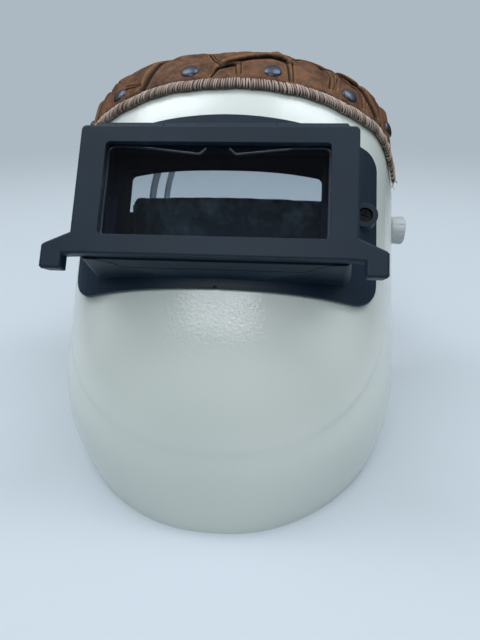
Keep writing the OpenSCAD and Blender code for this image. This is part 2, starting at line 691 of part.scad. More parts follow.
// the straps lie inside the band where it is narrowest over their width
function strap_half(y) = band_x(y + strap_w) - band_t - gap;
module crown_strap_front() { color("#8b9196") crown_strap(crown_y[0], strap_half(crown_y[0]), crown_h); }
module crown_strap_rear() { color("#8b9196") crown_strap(crown_y[1], strap_half(crown_y[1]), crown_h + 4); }
// press studs through the crown straps and the band
module strap_pegs() {
    color("#2a2e33") gear() mirrored() for (y = crown_y)
        let (xi = strap_half(y) - crown_t, xo = band_x(y + strap_w/2 - 3.2) + gap)
        translate([0, y + strap_w/2, 0]) {
            rod_x(xi - 1.7, xi - 0.2, 3.4);
            rod_x(xi - 0.5, xo + 0.5, peg_r);
            rod_x(xo, xo + 1.4, 3.2);
        }
}
// S-shaped arms that carry the pivots out to the shell
module side_arm() {
    x0 = band_r + gap;
    x1 = arm_x - arm_t;
    difference() {
        union() {
            translate([0, 0, -9]) linear_extrude(18)
                polygon([[x0, 25], [x0 + arm_t, 25], [x0 + arm_t, 17], [arm_x, 9.2],
                         [arm_x, -6], [x1, -6], [x1, 7.4], [x0, 15.1]]);
            rod_x(x1, arm_x, 12);
        }
        rod_x(x1 - 20, arm_x + 5, stud_r + 0.12);
        arm_rivet_places() rod_x(-6, 6, arm_rivet_r + 0.1);
    }
}
module side_arm_right() { color("#2a2e33") gear() side_arm(); }
module side_arm_left() { color("#2a2e33") gear() mirror([1, 0, 0]) side_arm(); }
module arm_rivets() {
    color("silver") gear() mirrored() arm_rivet_places() {
        rod_x(-band_t - 1.3, -band_t - 0.2, 2.8);
        rod_x(-band_t - 0.4, gap + arm_t + 0.4, arm_rivet_r);
        rod_x(gap + arm_t + 0.2, gap + arm_t + 1.2, 2.8);
    }
}
module pivot_stud() {
    rod_x(arm_x - arm_t - 2.9, arm_x - arm_t - 0.1, 6.5);
    rod_x(arm_x - arm_t - 1, knob_x + 7, stud_r);
}
module pivot_stud_right() { color("silver") gear() pivot_stud(); }
module pivot_stud_left() { color("silver") gear() mirror([1, 0, 0]) pivot_stud(); }
module ring_x(x0, x1, r, bore) {
    difference() {
        rod_x(x0, x1, r);
        rod_x(x0 - 1, x1 + 1, bore);
    }
}
module inner_washer() {
    ring_x(arm_x + gap, arm_x + 2.2, arm_r, stud_r + stud_fit);
}
module inner_washer_right() { color("#33383d") gear() inner_washer(); }
module inner_washer_left() { color("#33383d") gear() mirror([1, 0, 0]) inner_washer(); }
module outer_washer() {
    translate([0, pivot_y, pivot_z])
        ring_x(washer_x, washer_x + washer_t, 8.6, stud_r + stud_fit);
}
module outer_washer_right() { color("silver") stand() outer_washer(); }
module outer_washer_left() { color("silver") stand() mirror([1, 0, 0]) outer_washer(); }
// Fluted thumb knob; the stud threads into its blind bore.
module tilt_knob() {
    translate([0, pivot_y, pivot_z]) difference() {
        translate([knob_x, 0, 0]) rotate([0, 90, 0]) rotate_extrude()
            polygon(concat([[0, 0], [tilt_knob_r - 1.4, 0], [tilt_knob_r - 0.6, 0.8]],
                           [for (a = [0:15:90]) [tilt_knob_r - 2 + 2*cos(a),
                                                 knob_t - 2 + 2*sin(a)]],
                           [[tilt_knob_r - 3.2, knob_t - 0.7], [0, knob_t - 0.7]]));
        rod_x(knob_x - 1, knob_x + 7.5, stud_r + 0.08);
        for (a = [0:30:330]) rotate([a, 0, 0])
            translate([0, 0, tilt_knob_r + 1.5]) rod_x(knob_x + 1, knob_x + knob_t + 1, 1.9);
    }
}
module tilt_knob_right() { color("#a9b1b4") stand() tilt_knob(); }
module tilt_knob_left() { color("#a9b1b4") stand() mirror([1, 0, 0]) tilt_knob(); }

// ==== ratchet ===============================================================
tooth_pitch = 2*PI*pinion_r/pinion_n;      // length of one tooth along the rack
slot_half = 7;                             // slot half angle beyond its travel
travel = 9;                                // degrees the straps draw in
module nape_strap(r, upper) {
    pitch = tooth_pitch/(r + strap_t/2)*180/PI;
    difference() {
        arc_ring(r, r + strap_t, tail_h, -nape_over, nape_end);
        difference() {
            arc_ring(r - 1, r + strap_t + 1, 2*slot_h + tooth_h, -slot_half, slot_half + travel);
            for (k = [-4:8]) rotate_at(pitch*(k + 0.5))
                translate([-tooth_pitch*0.15, r - 2, upper ? slot_h - 0.55 : -slot_h - 0.55])
                    cube([tooth_pitch*0.3, strap_t + 4, 1.1]);
        }
    }
}
module rotate_at(a) {
    translate([0, arc_r, 0]) rotate([0, 0, a]) children();
}
module nape_strap_left() {
    color("#2a2e33") gear() nape_strap(nape_r1, true);
}
module nape_strap_right() {
    color("#2a2e33") gear() mirror([1, 0, 0]) nape_strap(nape_r2, false);
}
// loops that keep the nape straps against the band
module keeper(r) {
    out = r + strap_t + gap + 1.4;
    translate([0, arc_r, 0]) rotate([0, 0, 90 + 43]) rotate_extrude(angle = 6, $fn = 120)
        difference() {
            translate([band_r + 0.1, -tail_h/2 - 2]) square([out - band_r - 0.1, tail_h + 4]);
            translate([band_r - 1, -tail_h/2 - gap]) square([r + strap_t + gap - band_r + 1,
                                                             tail_h + 2*gap]);
        }
}
module strap_keepers() {
    color("#2a2e33") gear() {
        keeper(nape_r1);
        mirror([1, 0, 0]) keeper(nape_r2);
    }
}
module ratchet_housing() {
    r_mid = (house_in + house_out)/2;
    color("#23272b") gear() difference() {
        translate([0, arc_r, 0]) rotate([0, 0, 90 - house_phi])
            rotate_extrude(angle = 2*house_phi, $fn = 120)
            rounded(house_in - 1.6, house_out, -12.5, 12.5, 1.5);
        arc_ring(house_in, nape_r2 + strap_t + 0.5, tail_h + 0.8, -house_phi - 5, house_phi + 5);
        translate([0, arc_r, 0]) rod_y(r_mid, house_out + 5, shaft_r + 0.08);
    }
}
module ratchet_pinion() {
    color("#8b9196") gear() translate([0, arc_r, 0]) {
        rod_y(house_in + 0.4, house_out + 1, shaft_r);
        for (k = [0:pinion_n - 1]) rotate([0, k*360/pinion_n, 0])
            translate([-tooth_pitch*0.15, house_in + 0.4, 0])
                cube([tooth_pitch*0.3, nape_r2 + strap_t + 0.2 - house_in - 0.4,
                      pinion_r + tooth_h]);
    }
}
module ratchet_knob() {
    color("#2d3237") gear() translate([0, arc_r + house_out + gap, 0]) difference() {
        rotate([-90, 0, 0]) rotate_extrude()
            polygon(concat([[0, 0], [ratchet_r - 2, 0], [ratchet_r, 2]],
                           [for (a = [0:15:90]) [ratchet_r - knob_edge + knob_edge*cos(a),
                                                 knob_len - knob_edge + knob_edge*sin(a)]],
                           [[0, knob_len]]));
        rod_y(-1, 2.7, shaft_r + 0.05);
        for (a = [0:22.5:337.5]) rotate([0, a, 0])
            translate([ratchet_r + 1.6, 0, 0]) rod_y(3, knob_len + 1, 2.6);
    }
}
module nape_pad() {
    color("#1c2126") gear()
        pad_ring(house_in - 1.6 - gap - 6, house_in - 1.6 - gap, 30, 27, arc_r, 90);
}

shell();
lens_base();
holder_screws();
clamp_wedges();
clamp_nuts();
inner_cover_plate();
plate_clips();
lift_front();
front_cover_plate();
cover_spring();
hinge_pin();
leather_trim();
stitched_edge();
rivets();
headband();
brow_pad();
crown_strap_front();
crown_strap_rear();
strap_pegs();
side_arm_left();
side_arm_right();
arm_rivets();
pivot_stud_left();
pivot_stud_right();
inner_washer_left();
inner_washer_right();
outer_washer_left();
outer_washer_right();
tilt_knob_left();
tilt_knob_right();
ratchet_housing();
ratchet_pinion();
ratchet_knob();
nape_strap_left();
nape_strap_right();
strap_keepers();
nape_pad();
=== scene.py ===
import math
from functools import partial

import bpy
import numpy as np
from mathutils import Matrix, Vector


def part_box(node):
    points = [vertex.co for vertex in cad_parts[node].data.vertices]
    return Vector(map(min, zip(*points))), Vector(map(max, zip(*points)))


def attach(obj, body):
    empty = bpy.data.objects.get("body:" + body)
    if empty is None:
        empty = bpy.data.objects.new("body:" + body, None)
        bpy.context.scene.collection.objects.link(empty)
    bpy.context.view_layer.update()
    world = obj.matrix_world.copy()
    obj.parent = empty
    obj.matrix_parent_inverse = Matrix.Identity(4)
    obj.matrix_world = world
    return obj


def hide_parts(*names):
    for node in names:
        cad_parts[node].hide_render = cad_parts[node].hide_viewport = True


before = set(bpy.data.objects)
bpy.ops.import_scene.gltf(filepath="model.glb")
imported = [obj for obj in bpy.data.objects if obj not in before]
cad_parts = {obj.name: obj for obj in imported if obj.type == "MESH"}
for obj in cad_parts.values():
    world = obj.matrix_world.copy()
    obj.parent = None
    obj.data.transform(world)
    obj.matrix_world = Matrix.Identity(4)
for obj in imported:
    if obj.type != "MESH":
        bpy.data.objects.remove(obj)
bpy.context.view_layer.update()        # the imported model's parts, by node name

bl_info = {
    "name": "Welding Hood",
    "version": (1, 0, 0),
    "blender": (4, 5, 0),
    "location": "View3D > Sidebar > Welding Hood",
    "description": "Dresses a welding hood with its shell, leather brow trim, pads and finishes",
    "category": "Object",
}

MM = 0.001


# ---- The hood's own frame: x across, y back from the lift front's face and z up along it, in mm

PIN_Y, PIN_Z = 8.5, 34.5           # the lift front's hinge pin
AXLE_Y, AXLE_Z = 129.0, 31.0       # the studs on which the headgear tilts
GEAR_TILT = math.radians(20)       # the headgear's turn about them at rest


def middle(node):
    """The middle of a node's box, in metres, as an array."""
    low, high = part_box(node)
    return (np.array(low) + np.array(high)) / 2


def hood_placing():
    """Lean and shift that carry the hood's own frame to the row frame.

    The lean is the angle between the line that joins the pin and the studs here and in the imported
    model, and the shift is what is left at the pin."""
    pin = middle("hinge_pin")
    stud = (middle("pivot_stud_left") + middle("pivot_stud_right")) / 2
    own = np.array([AXLE_Y - PIN_Y, AXLE_Z - PIN_Z])
    row = (stud - pin)[1:]
    lean = math.atan2(own[1], own[0]) - math.atan2(row[1], row[0])
    c, s = math.cos(lean), math.sin(lean)
    y = pin[1] / MM - (PIN_Y * c + PIN_Z * s)
    z = pin[2] / MM - (-PIN_Y * s + PIN_Z * c)
    return c, s, y, z


COS, SIN, SHIFT_Y, SHIFT_Z = hood_placing()


def to_row(p):
    """Points of the hood's frame in mm, as points of the row frame in metres."""
    p = np.asarray(p, float)
    x, y, z = p[..., 0], p[..., 1], p[..., 2]
    row = [x, y * COS + z * SIN + SHIFT_Y, -y * SIN + z * COS + SHIFT_Z]
    return np.stack(row, axis=-1) * MM


def gear_to_row(p):
    """Points of the headgear's frame (origin on its axle, turned by its rest tilt, in mm), as
    points of the row frame in metres."""
    c, s = math.cos(GEAR_TILT), math.sin(GEAR_TILT)
    x, y, z = p[..., 0], p[..., 1], p[..., 2]
    return to_row(np.stack([x, AXLE_Y + y * c - z * s, AXLE_Z + y * s + z * c], axis=-1))


# ---- The shell's surface

HALF_W = 105.0         # half the width at the cheeks
FRONT = 25.6           # depth of the face behind the lift front's
SIDE_Y = 136.1         # depth at which the face ends and the two wings begin
SQUARE = 2.43          # exponent of the plan's superellipse
WALL = 2.6
REAR_Y = 164           # depth of the wings' rear edge at the axle
REAR_SLOPE = 0.24      # how much that edge runs back for each mm down
JAW_R = 18.0           # rounded corner of the jaw
BROW_TOP = 101.0       # height of the brow's edge at the middle
BROW_DROP = 16         # how far that edge falls towards the sides
TAN_LEAN = SIN / COS
NECK_ZERO = -168 / COS  # height of the table at depth 0


def half_width(z):
    """Half the shell's width at height z: full at the cheeks, less by the 2.5th power below them
    and by the square above."""
    low = np.maximum(0, -65 - z) / 100
    high = np.maximum(0, z - 30) / 75
    return HALF_W - 48 * low**2.5 - 4 * high**2


def front_depth(z):
    """Depth of the shell's front at height z, which tucks in towards chin and brow."""
    low = np.maximum(0, -57 - z) / 100
    high = np.maximum(0, z - 40) / 50
    return FRONT + 33.5 * low**2.1 + 11 * high**2


def plan_point(phi, z, off):
    """(x, y) on the superellipse |x/a|^2.43 + |y/d|^2.43 = 1 about (0, SIDE_Y), at angle phi from
    straight ahead, with both half axes longer by off."""
    a = half_width(z) + off
    d = SIDE_Y - front_depth(z) + off
    r = (np.abs(np.sin(phi)) / a) ** SQUARE + (np.abs(np.cos(phi)) / d) ** SQUARE
    r = r ** (-1 / SQUARE)
    return r * np.sin(phi), SIDE_Y - r * np.cos(phi)


def rear_y(z):
    """The rear edge of the wings, which runs back as it goes down."""
    return REAR_Y - REAR_SLOPE * (z - AXLE_Z)


def round_rise(y, start, r):
    """How far a corner of radius r, starting at start, has turned up at y."""
    d = np.clip(y - start, 0, 0.97 * r)
    return r - np.sqrt(r * r - d * d)


JAW_Y = rear_y(NECK_ZERO + 186 * TAN_LEAN) - JAW_R


def neck_edge(y):
    """Height of the neck edge at depth y: level on the table once the hood leans, with a rounded
    jaw corner."""
    return NECK_ZERO + y * TAN_LEAN + round_rise(y, JAW_Y, JAW_R)


def brow_edge(y):
    """Height of the brow's edge at depth y: it falls by BROW_DROP over about 15 mm of depth, and
    turns down round a corner of 60 mm behind a depth of 108."""
    start = front_depth(np.array(BROW_TOP))
    fall = BROW_DROP * (1 - np.exp(-np.maximum(0, y - start) / 15))
    return BROW_TOP - fall - round_rise(y, 108, 60)


def face_point(c, z, off):
    """Point of the shell at column c, height z and offset off. Columns 0 to 1 run along one wing,
    1 to 2 round the face from -90 to 90 degrees, and 2 to 3 along the other wing."""
    phi = (np.clip(c, 1, 2) - 1.5) * math.pi
    x, y = plan_point(phi, z, off)
    wing = np.maximum(0, 1 - c) + np.maximum(0, c - 2)
    return np.stack([x, y + wing * (rear_y(z) - SIDE_Y), z + 0 * x], axis=-1)


def settle(edge, c, off, z):
    """Height at which column c meets an edge given as a height over depth, found from z by
    repeating the edge's own formula."""
    z = np.full_like(c, z, dtype=float)
    for _ in range(40):
        z = edge(face_point(c, z, off)[..., 1])
    return z


def rim_height(c, off=0.0):
    """Height of the brow rim over the columns."""
    return settle(brow_edge, c, off, 90.0)


def seam_height(c):
    """Lower edge of the brow stitching over the columns: it falls by 10 mm over about 14 mm of
    depth, then by the square of the way behind 58 mm where the strip's ends hang down."""
    y = face_point(c, np.full_like(c, 62.0), 0.0)[..., 1]
    line = 71.4 - 10 * (1 - np.exp(-np.maximum(0, y - FRONT - 2.4) / 14))
    return line - 18 * np.clip((y - 58) / 24, 0, 1) ** 2


def brow_columns(u):
    """Columns of the face at arc length u (mm, 0 in the middle, + to the right) along the brow at
    a height of 80."""
    c = np.linspace(1.05, 1.95, 901)
    walk = face_point(c, np.full_like(c, 80.0), 0.0)
    arc = np.concatenate([[0], np.cumsum(np.linalg.norm(np.diff(walk, axis=0), axis=1))])
    return np.interp(u, arc - arc[-1] / 2, c)


def brow_length(c):
    """Arc length along the brow at columns c, the inverse of brow_columns."""
    u = np.linspace(-150, 150, 601)
    return np.interp(c, brow_columns(u), u)


def crease_depth(p, half, step):
    """How far the shell lies back at a point: nothing inside a U of half width half and exponent
    2.2 whose foot is at z = -120, a step just outside it, fading out to nothing towards the cheeks
    and above the lens, and faint at the foot."""
    x, z = np.abs(p[..., 0]), p[..., 2]
    low = np.maximum(0, -(z + 30)) / 90
    level = ((x / half) ** 2.2 + low**2.2) ** (1 / 2.2)
    out = smooth_step((level - 1) / 0.016) * (1 - smooth_step((level - 1.03) / 0.13))
    return -step * out * (1 - smooth_step((z - 20) / 40)) * (0.3 + 0.7 * smooth_step((x - 40) / 45))


# ---- Mesh makers

THREAD_SIDES = 8


def smooth_step(t):
    """0 below 0, 1 above 1, and 3t^2 - 2t^3 between."""
    t = np.clip(t, 0, 1)
    return t * t * (3 - 2 * t)


def circle(n):
    """Angles of n points round a circle."""
    return np.linspace(0, 2 * math.pi, n, endpoint=False)


def grid_faces(n, m, closed=True):
    """Quads of n rings of m points, turned to face out when a ring runs anticlockwise. A closed
    ring joins its last point to its first."""
    i, j = np.meshgrid(np.arange(n - 1), np.arange(m if closed else m - 1), indexing="ij")
    j2 = (j + 1) % m
    quads = np.stack([i * m + j, (i + 1) * m + j, (i + 1) * m + j2, i * m + j2], axis=-1)
    return quads.reshape(-1, 4)


def rod_faces(n, m):
    """Quads of n rings of m points, and the two faces that close the ends."""
    return [grid_faces(n, m), [list(range(m))[::-1]], [[(n - 1) * m + j for j in range(m)]]]


def new_piece(name, points, faces, material=None, body=None, sharp=0, attributes=None):
    """A piece from points in metres and a list of arrays of faces, smooth all over or, with sharp,
    up to an angle of so many degrees."""
    mesh = bpy.data.meshes.new(name)
    polys = [poly for group in faces for poly in np.asarray(group).tolist()]
    mesh.from_pydata(np.asarray(points).reshape(-1, 3).tolist(), [], polys)
    for key, values in (attributes or {}).items():
        layer = mesh.attributes.new(key, "FLOAT", "POINT")
        layer.data.foreach_set("value", np.asarray(values, np.float32).reshape(-1))
    mesh.polygons.foreach_set("use_smooth", np.ones(len(mesh.polygons), bool))
    if sharp:
        mesh.set_sharp_from_angle(angle=math.radians(sharp))
    mesh.update()
    piece = bpy.data.objects.new(name, mesh)
    bpy.context.scene.collection.objects.link(piece)
    if material:
        mesh.materials.append(material)
    if body:
        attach(piece, body)
    return piece


def rings_along(path, step, spoke, radius, sides):
    """Rings of a tube: about each point of a path a circle across its step, begun at its spoke."""
    a = circle(sides)[:, None]
    across = np.cross(step, spoke)
    ring = spoke[..., None, :] * np.cos(a) + across[..., None, :] * np.sin(a)
    return path[..., None, :] + ring * radius[..., None, None]


def tube(path, radius, sides):
    """Rings of a tube along a path, whose first spoke is carried from one point to the next
    without twist."""
    step = np.gradient(path, axis=0)
    step /= np.linalg.norm(step, axis=1, keepdims=True)
    first = np.cross(step[0], [0.0, 0.0, 1.0])
    spokes = [first / np.linalg.norm(first)]
    for t in step[1:]:
        s = spokes[-1] - t * np.dot(spokes[-1], t)
        spokes.append(s / np.linalg.norm(s))
    return rings_along(path, step, np.array(spokes), np.full(len(path), radius), sides)


def round_corners(points, radii):
    """A path whose corners are cut back by their radii and bridged by square curves."""
    out = [points[0]]
    t = np.linspace(0, 1, 8)[:, None]
    for i, radius in enumerate(radii, 1):
        p, a, b = points[i], points[i - 1] - points[i], points[i + 1] - points[i]
        la, lb = np.linalg.norm(a), np.linalg.norm(b)
        cut = min(radius, 0.48 * la, 0.48 * lb)
        start, end = p + a / la * cut, p + b / lb * cut
        out += list((1 - t) ** 2 * start + 2 * t * (1 - t) * p + t * t * end)
    return np.array(out + [points[-1]])


def threads(paths, radius, side):
    """Rings of many tubes at once, along an array of k paths of n points. The first spokes of each
    path point along its side."""
    step = np.gradient(paths, axis=1)
    step /= np.linalg.norm(step, axis=2, keepdims=True)
    spoke = side[:, None] - step * np.sum(side[:, None] * step, axis=2, keepdims=True)
    spoke /= np.linalg.norm(spoke, axis=2, keepdims=True)
    return rings_along(paths, step, spoke, radius, THREAD_SIDES)


def thread_faces(k, n, first):
    """Quads of k tubes of n rings, stored one after the other from point number first."""
    starts = first + np.arange(k)[:, None, None] * n * THREAD_SIDES
    return (grid_faces(n, THREAD_SIDES) + starts).reshape(-1, 4)


def smooth_path(points):
    """A curve through points, by the Catmull-Rom rule: it leaves each point along the line that
    joins the point's neighbours."""
    q = np.asarray(points, float)
    q = np.concatenate([[2 * q[0] - q[1]], q, [2 * q[-1] - q[-2]]])
    t = np.linspace(0, 1, 10, endpoint=False)[:, None]
    out = []
    for a, b, c, d in zip(q[:-3], q[1:-2], q[2:-1], q[3:]):
        out.append(0.5 * (2 * b + (c - a) * t + (2 * a - 5 * b + 4 * c - d) * t**2
                          + (3 * b - 3 * c + d - a) * t**3))
    return np.concatenate(out + [q[-2:-1]])


def bake(piece):
    """Applies a piece's modifiers to its mesh."""
    graph = bpy.context.evaluated_depsgraph_get()
    mesh = bpy.data.meshes.new_from_object(piece.evaluated_get(graph),
                                           preserve_all_data_layers=True, depsgraph=graph)
    old = piece.data
    piece.modifiers.clear()
    piece.data = mesh
    bpy.data.meshes.remove(old)


# ---- Materials. Scales of patterns are repeats per mm, and depths are in mm.

def linear(hex_colour):
    """An sRGB hex colour as linear red, green, blue and alpha."""
    values = [int(hex_colour[i:i + 2], 16) / 255 for i in (1, 3, 5)]
    return [v / 12.92 if v <= 0.04045 else ((v + 0.055) / 1.055) ** 2.4 for v in values] + [1.0]


def shaded(colour, k):
    """A colour, given as hex or as linear values, at k times its brightness."""
    values = linear(colour) if isinstance(colour, str) else colour
    return [k * v for v in values[:3]] + [1.0]


def feed(node, links):
    """Sets inputs of a node by name or number: to a node's output, a value or a hex colour."""
    for key, value in links.items():
        if isinstance(value, bpy.types.NodeSocket):
            node.id_data.links.new(value, node.inputs[key])
        else:
            node.inputs[key].default_value = linear(value) if isinstance(value, str) else value


def add(tree, kind, links=None, out=0, **settings):
    """Adds a node with its settings and inputs. Returns the output that out names or numbers, or
    the node where out is None."""
    node = tree.nodes.new("ShaderNode" + kind)
    for key, value in settings.items():
        setattr(node, key, value)
    feed(node, links or {})
    return node if out is None else node.outputs[out]


# settings and output of a Mix node between two colours, which are its inputs 6 and 7
COLOURS = {"data_type": "RGBA", "out": 2}


def material(name, **sockets):
    """A material with one Principled shader. sockets are its plain values by name. Returns the
    material, add() for its tree, the shader and the object's coordinates in metres."""
    made = bpy.data.materials.new(name)
    made.use_nodes = True
    made.node_tree.nodes.clear()
    new = partial(add, made.node_tree)
    links = {key.replace("_", " "): value for key, value in sockets.items()}
    shader = new("BsdfPrincipled", links, None)
    new("OutputMaterial", {"Surface": shader.outputs[0]}, None)
    return made, new, shader, new("TexCoord", out="Object")


def glossy_hood_plastic():
    """Moulded fibre-filled polyamide with a gloss gel coat: bright off-white, with a faint orange
    peel that breaks up what it mirrors."""
    made, new, shader, v = material("gloss_moulded_shell", Roughness=0.35, IOR=1.5,
                                    Coat_Weight=0.75, Coat_Roughness=0.05)
    broad = new("TexNoise", {"Vector": v, "Scale": 0.009 / MM, "Detail": 2})
    tone = new("MapRange", {"Value": broad, "From Min": 0.35, "From Max": 0.65})
    base = new("Mix", {0: tone, 6: "#dbe5df", 7: "#e4ece6"}, **COLOURS)
    # waves of the gel coat 1.5 mm apart, under a finer 0.5 mm grain
    peel = new("TexNoise", {"Vector": v, "Scale": 0.68 / MM, "Detail": 2, "Roughness": 0.6})
    fine = new("TexNoise", {"Vector": v, "Scale": 1.9 / MM, "Detail": 2})
    height = new("Math", {0: fine, 1: 0.35, 2: peel}, operation="MULTIPLY_ADD")
    # the coat is the livelier of the two surfaces, so the waves sparkle where it mirrors a lamp
    coat, own = (new("Bump", {"Height": height, "Strength": 1.0, "Distance": depth * MM})
                 for depth in (0.14, 0.09))
    feed(shader, {"Base Color": base, "Coat Normal": coat, "Normal": own})
    return made


def pocket_shade_mask(new, v):
    """One within the box that the lens pocket and its tunnel fill, 114.4 mm wide and 55 mm high
    across the hood's lean, and zero on the outer faces of the lens base. It marks where the
    pocket's painted shade goes."""
    across = new("SeparateXYZ", {0: v}, "X")
    up = new("VectorMath", {0: v, 1: (0.0, SIN, COS)}, "Value", operation="DOT_PRODUCT")
    level = (SHIFT_Y * SIN + SHIFT_Z * COS + 0.5) * MM
    narrow = new("Math", {0: across, 1: 0.0, 2: 57.2 * MM}, operation="COMPARE")
    low = new("Math", {0: up, 1: level, 2: 27.5 * MM}, operation="COMPARE")
    return new("Math", {0: narrow, 1: low}, operation="MULTIPLY")


def moulded_plastic(name, colour, rough, soft=False, pocket=False):
    """Plastic straight from the mould, with softened edges. Glass-filled nylon and hard
    polyethylene are matt, with a fine even grain from the spark-eroded steel. The soft stock of
    straps and knobs is a satin, with faint flow lines. With pocket, the walls of the lens pocket
    take painted shade: they are coloured near black and made quite dull."""
    made, new, shader, v = material(name, IOR=1.5 if soft else 1.4)
    if soft:
        v = new("Mapping", {"Vector": v, "Scale": (1, 1, 6)})
        clouds, low, high, dark, dull = 0.04, 0.0, 1.0, 0.85, 0.08
        grains, uneven, strength, edge = 0.7, 0.5, 0.3, 0.5
    else:
        clouds, low, high, dark, dull = 0.035, 0.3, 0.7, 0.88, 0.06
        grains, uneven, strength, edge = 1.5, 0.6, 0.5, 0.6
    flow = new("TexNoise", {"Vector": v, "Scale": clouds / MM, "Detail": 3})
    tone = new("MapRange", {"Value": flow, "From Min": low, "From Max": high})
    base = new("Mix", {0: tone, 6: shaded(colour, dark), 7: shaded(colour, 1.12)}, **COLOURS)
    worn = new("MapRange", {"Value": flow, "To Min": rough - 0.05, "To Max": rough + dull})
    if pocket:
        # painted shade: the walls of the lens pocket are coloured near black and made dull, for the
        # shade inside it
        core = pocket_shade_mask(new, v)
        base = new("Mix", {0: core, 6: base, 7: "#06152d"}, **COLOURS)
        worn = new("Mix", {0: core, 2: worn, 3: 0.9})
    grain = new("TexNoise", {"Vector": v, "Scale": grains / MM, "Detail": 2, "Roughness": uneven})
    rounded = new("Bevel", {"Radius": edge * MM}, samples=4)
    bump = new("Bump", {"Height": grain, "Strength": strength, "Distance": 0.03 * MM,
                        "Normal": rounded})
    feed(shader, {"Base Color": base, "Roughness": worn, "Normal": bump})
    return made


def steel(name, colour, rough, metallic=1.0):
    """Plated or polished steel: the reflections break up in a fine grain of wear."""
    made, new, shader, v = material(name, Base_Color=colour, Metallic=metallic)
    wear = new("TexNoise", {"Vector": v, "Scale": 0.9 / MM, "Detail": 3})
    worn = new("MapRange", {"Value": wear, "To Min": rough - 0.08, "To Max": rough + 0.1})
    bump = new("Bump", {"Height": wear, "Strength": 0.25, "Distance": 0.02 * MM})
    feed(shader, {"Roughness": worn, "Normal": bump})
    return made


def clear_sheet():
    """Clear polycarbonate cover plate: nearly colourless, with the faint grey of its thickness and
    a light wiping haze."""
    made, new, shader, v = material("clear_cover_plate", Base_Color="#e3e8ec", IOR=1.46,
                                    Transmission_Weight=1.0)
    haze = new("TexNoise", {"Vector": v, "Scale": 0.06 / MM, "Detail": 3})
    feed(shader, {"Roughness": new("MapRange", {"Value": haze, "To Max": 0.03})})
    return made


def oiled_leather():
    """Pull-up leather embossed with large scales: warm brown tiles mottled by wear, creases
    darkened by painted shade in their grooves and under their lips, and paler lips beside the
    creases. Creases and lips come from the piece's attributes, so they lie in the relief."""
    made, new, shader, v = material("embossed_brown_leather", IOR=1.36)
    crease, lip = (new("Attribute", out="Fac", attribute_name=key) for key in ("crease", "lip"))
    broad, middling, fine = (
        new("TexNoise", {"Vector": v, "Scale": scale / MM, "Detail": detail, "Roughness": rough})
        for scale, detail, rough in ((0.055, 5, 0.65), (0.21, 5, 0.6), (0.9, 4, 0.7)))
    worn = new("Mix", {0: 0.5, 2: broad, 3: middling})
    # each layer covers the last where its value goes from low to high, by at most its share
    base = "#4a2f1e"
    # the crease layer is painted shade, in the grooves, under the lips and in the crumple's valleys
    for value, low, high, share, colour in (
            (worn, 0.38, 0.62, 1.0, "#8c6142"), (lip, 0.0, 1.0, 0.5, "#9f7146"),
            (fine, 0.4, 0.75, 0.55, "#33200f"), (crease, 0.1, 0.75, 1.0, "#1c0e08")):
        cover = new("MapRange", {"Value": value, "From Min": low, "From Max": high,
                                 "To Max": share})
        base = new("Mix", {0: cover, 6: base, 7: colour}, **COLOURS)
    pores = new("TexVoronoi", {"Vector": v, "Scale": 1.1 / MM}, "Distance",
                feature="DISTANCE_TO_EDGE")
    height = new("Math", {0: fine, 1: 0.8, 2: pores}, operation="MULTIPLY_ADD")
    feed(shader, {"Base Color": base,
                  "Roughness": new("MapRange", {"Value": fine, "To Min": 0.5, "To Max": 0.8}),
                  "Normal": new("Bump", {"Height": height, "Strength": 0.45,
                                         "Distance": 0.2 * MM})})
    return made


def sewing_thread():
    """Waxed cotton thread: beige with a pink cast, each stitch a little lighter or darker, with
    painted shade towards its foot, and the fuzz of its twist."""
    made, new, shader, v = material("waxed_beige_thread", Roughness=0.62, Sheen_Weight=0.25)
    tone = new("Attribute", out="Fac", attribute_name="tone")
    ramp = new("ValToRGB", {"Fac": tone}, None)
    band = ramp.color_ramp.elements
    band.new(0.4)
    for element, colour in zip(band, ("#332821", "#8b786b", "#d2bfb1")):
        element.color = linear(colour)
    fuzz = new("TexNoise", {"Vector": v, "Scale": 2.6 / MM, "Detail": 3})
    bump = new("Bump", {"Height": fuzz, "Strength": 0.6, "Distance": 0.1 * MM})
    feed(shader, {"Base Color": ramp.outputs["Color"], "Normal": bump})
    return made


def black_suede():
    """Suede split leather: a short brushed nap, nearly black, with paler blotches where the nap
    lies over."""
    made, new, shader, v = material("black_suede", Roughness=0.92, Sheen_Weight=0.45,
                                    Sheen_Roughness=0.45, Sheen_Tint="#7f94a3")
    # blotches, clumps of nap 3 mm apart, and the nap itself drawn at 1 mm
    broad, clumps, nap = (
        new("TexNoise", {"Vector": v, "Scale": scale / MM, "Detail": detail, "Roughness": rough})
        for scale, detail, rough in ((0.038, 6, 0.65), (0.33, 3, 0.7), (1.0, 4, 0.75)))
    blotch = new("MapRange", {"Value": broad, "From Min": 0.46, "From Max": 0.66})
    base = new("Mix", {0: blotch, 6: "#26384a", 7: "#6b8b98"}, **COLOURS)
    pile = new("Math", {0: nap, 1: clumps}, operation="ADD")
    dark = new("Math", {0: pile, 1: 0.36}, operation="MULTIPLY")
    base = new("Mix", {0: dark, 6: base, 7: "#080c10"}, **COLOURS)
    bump = new("Bump", {"Height": pile, "Strength": 0.8, "Distance": 0.4 * MM})
    feed(shader, {"Base Color": base, "Normal": bump})
    return made


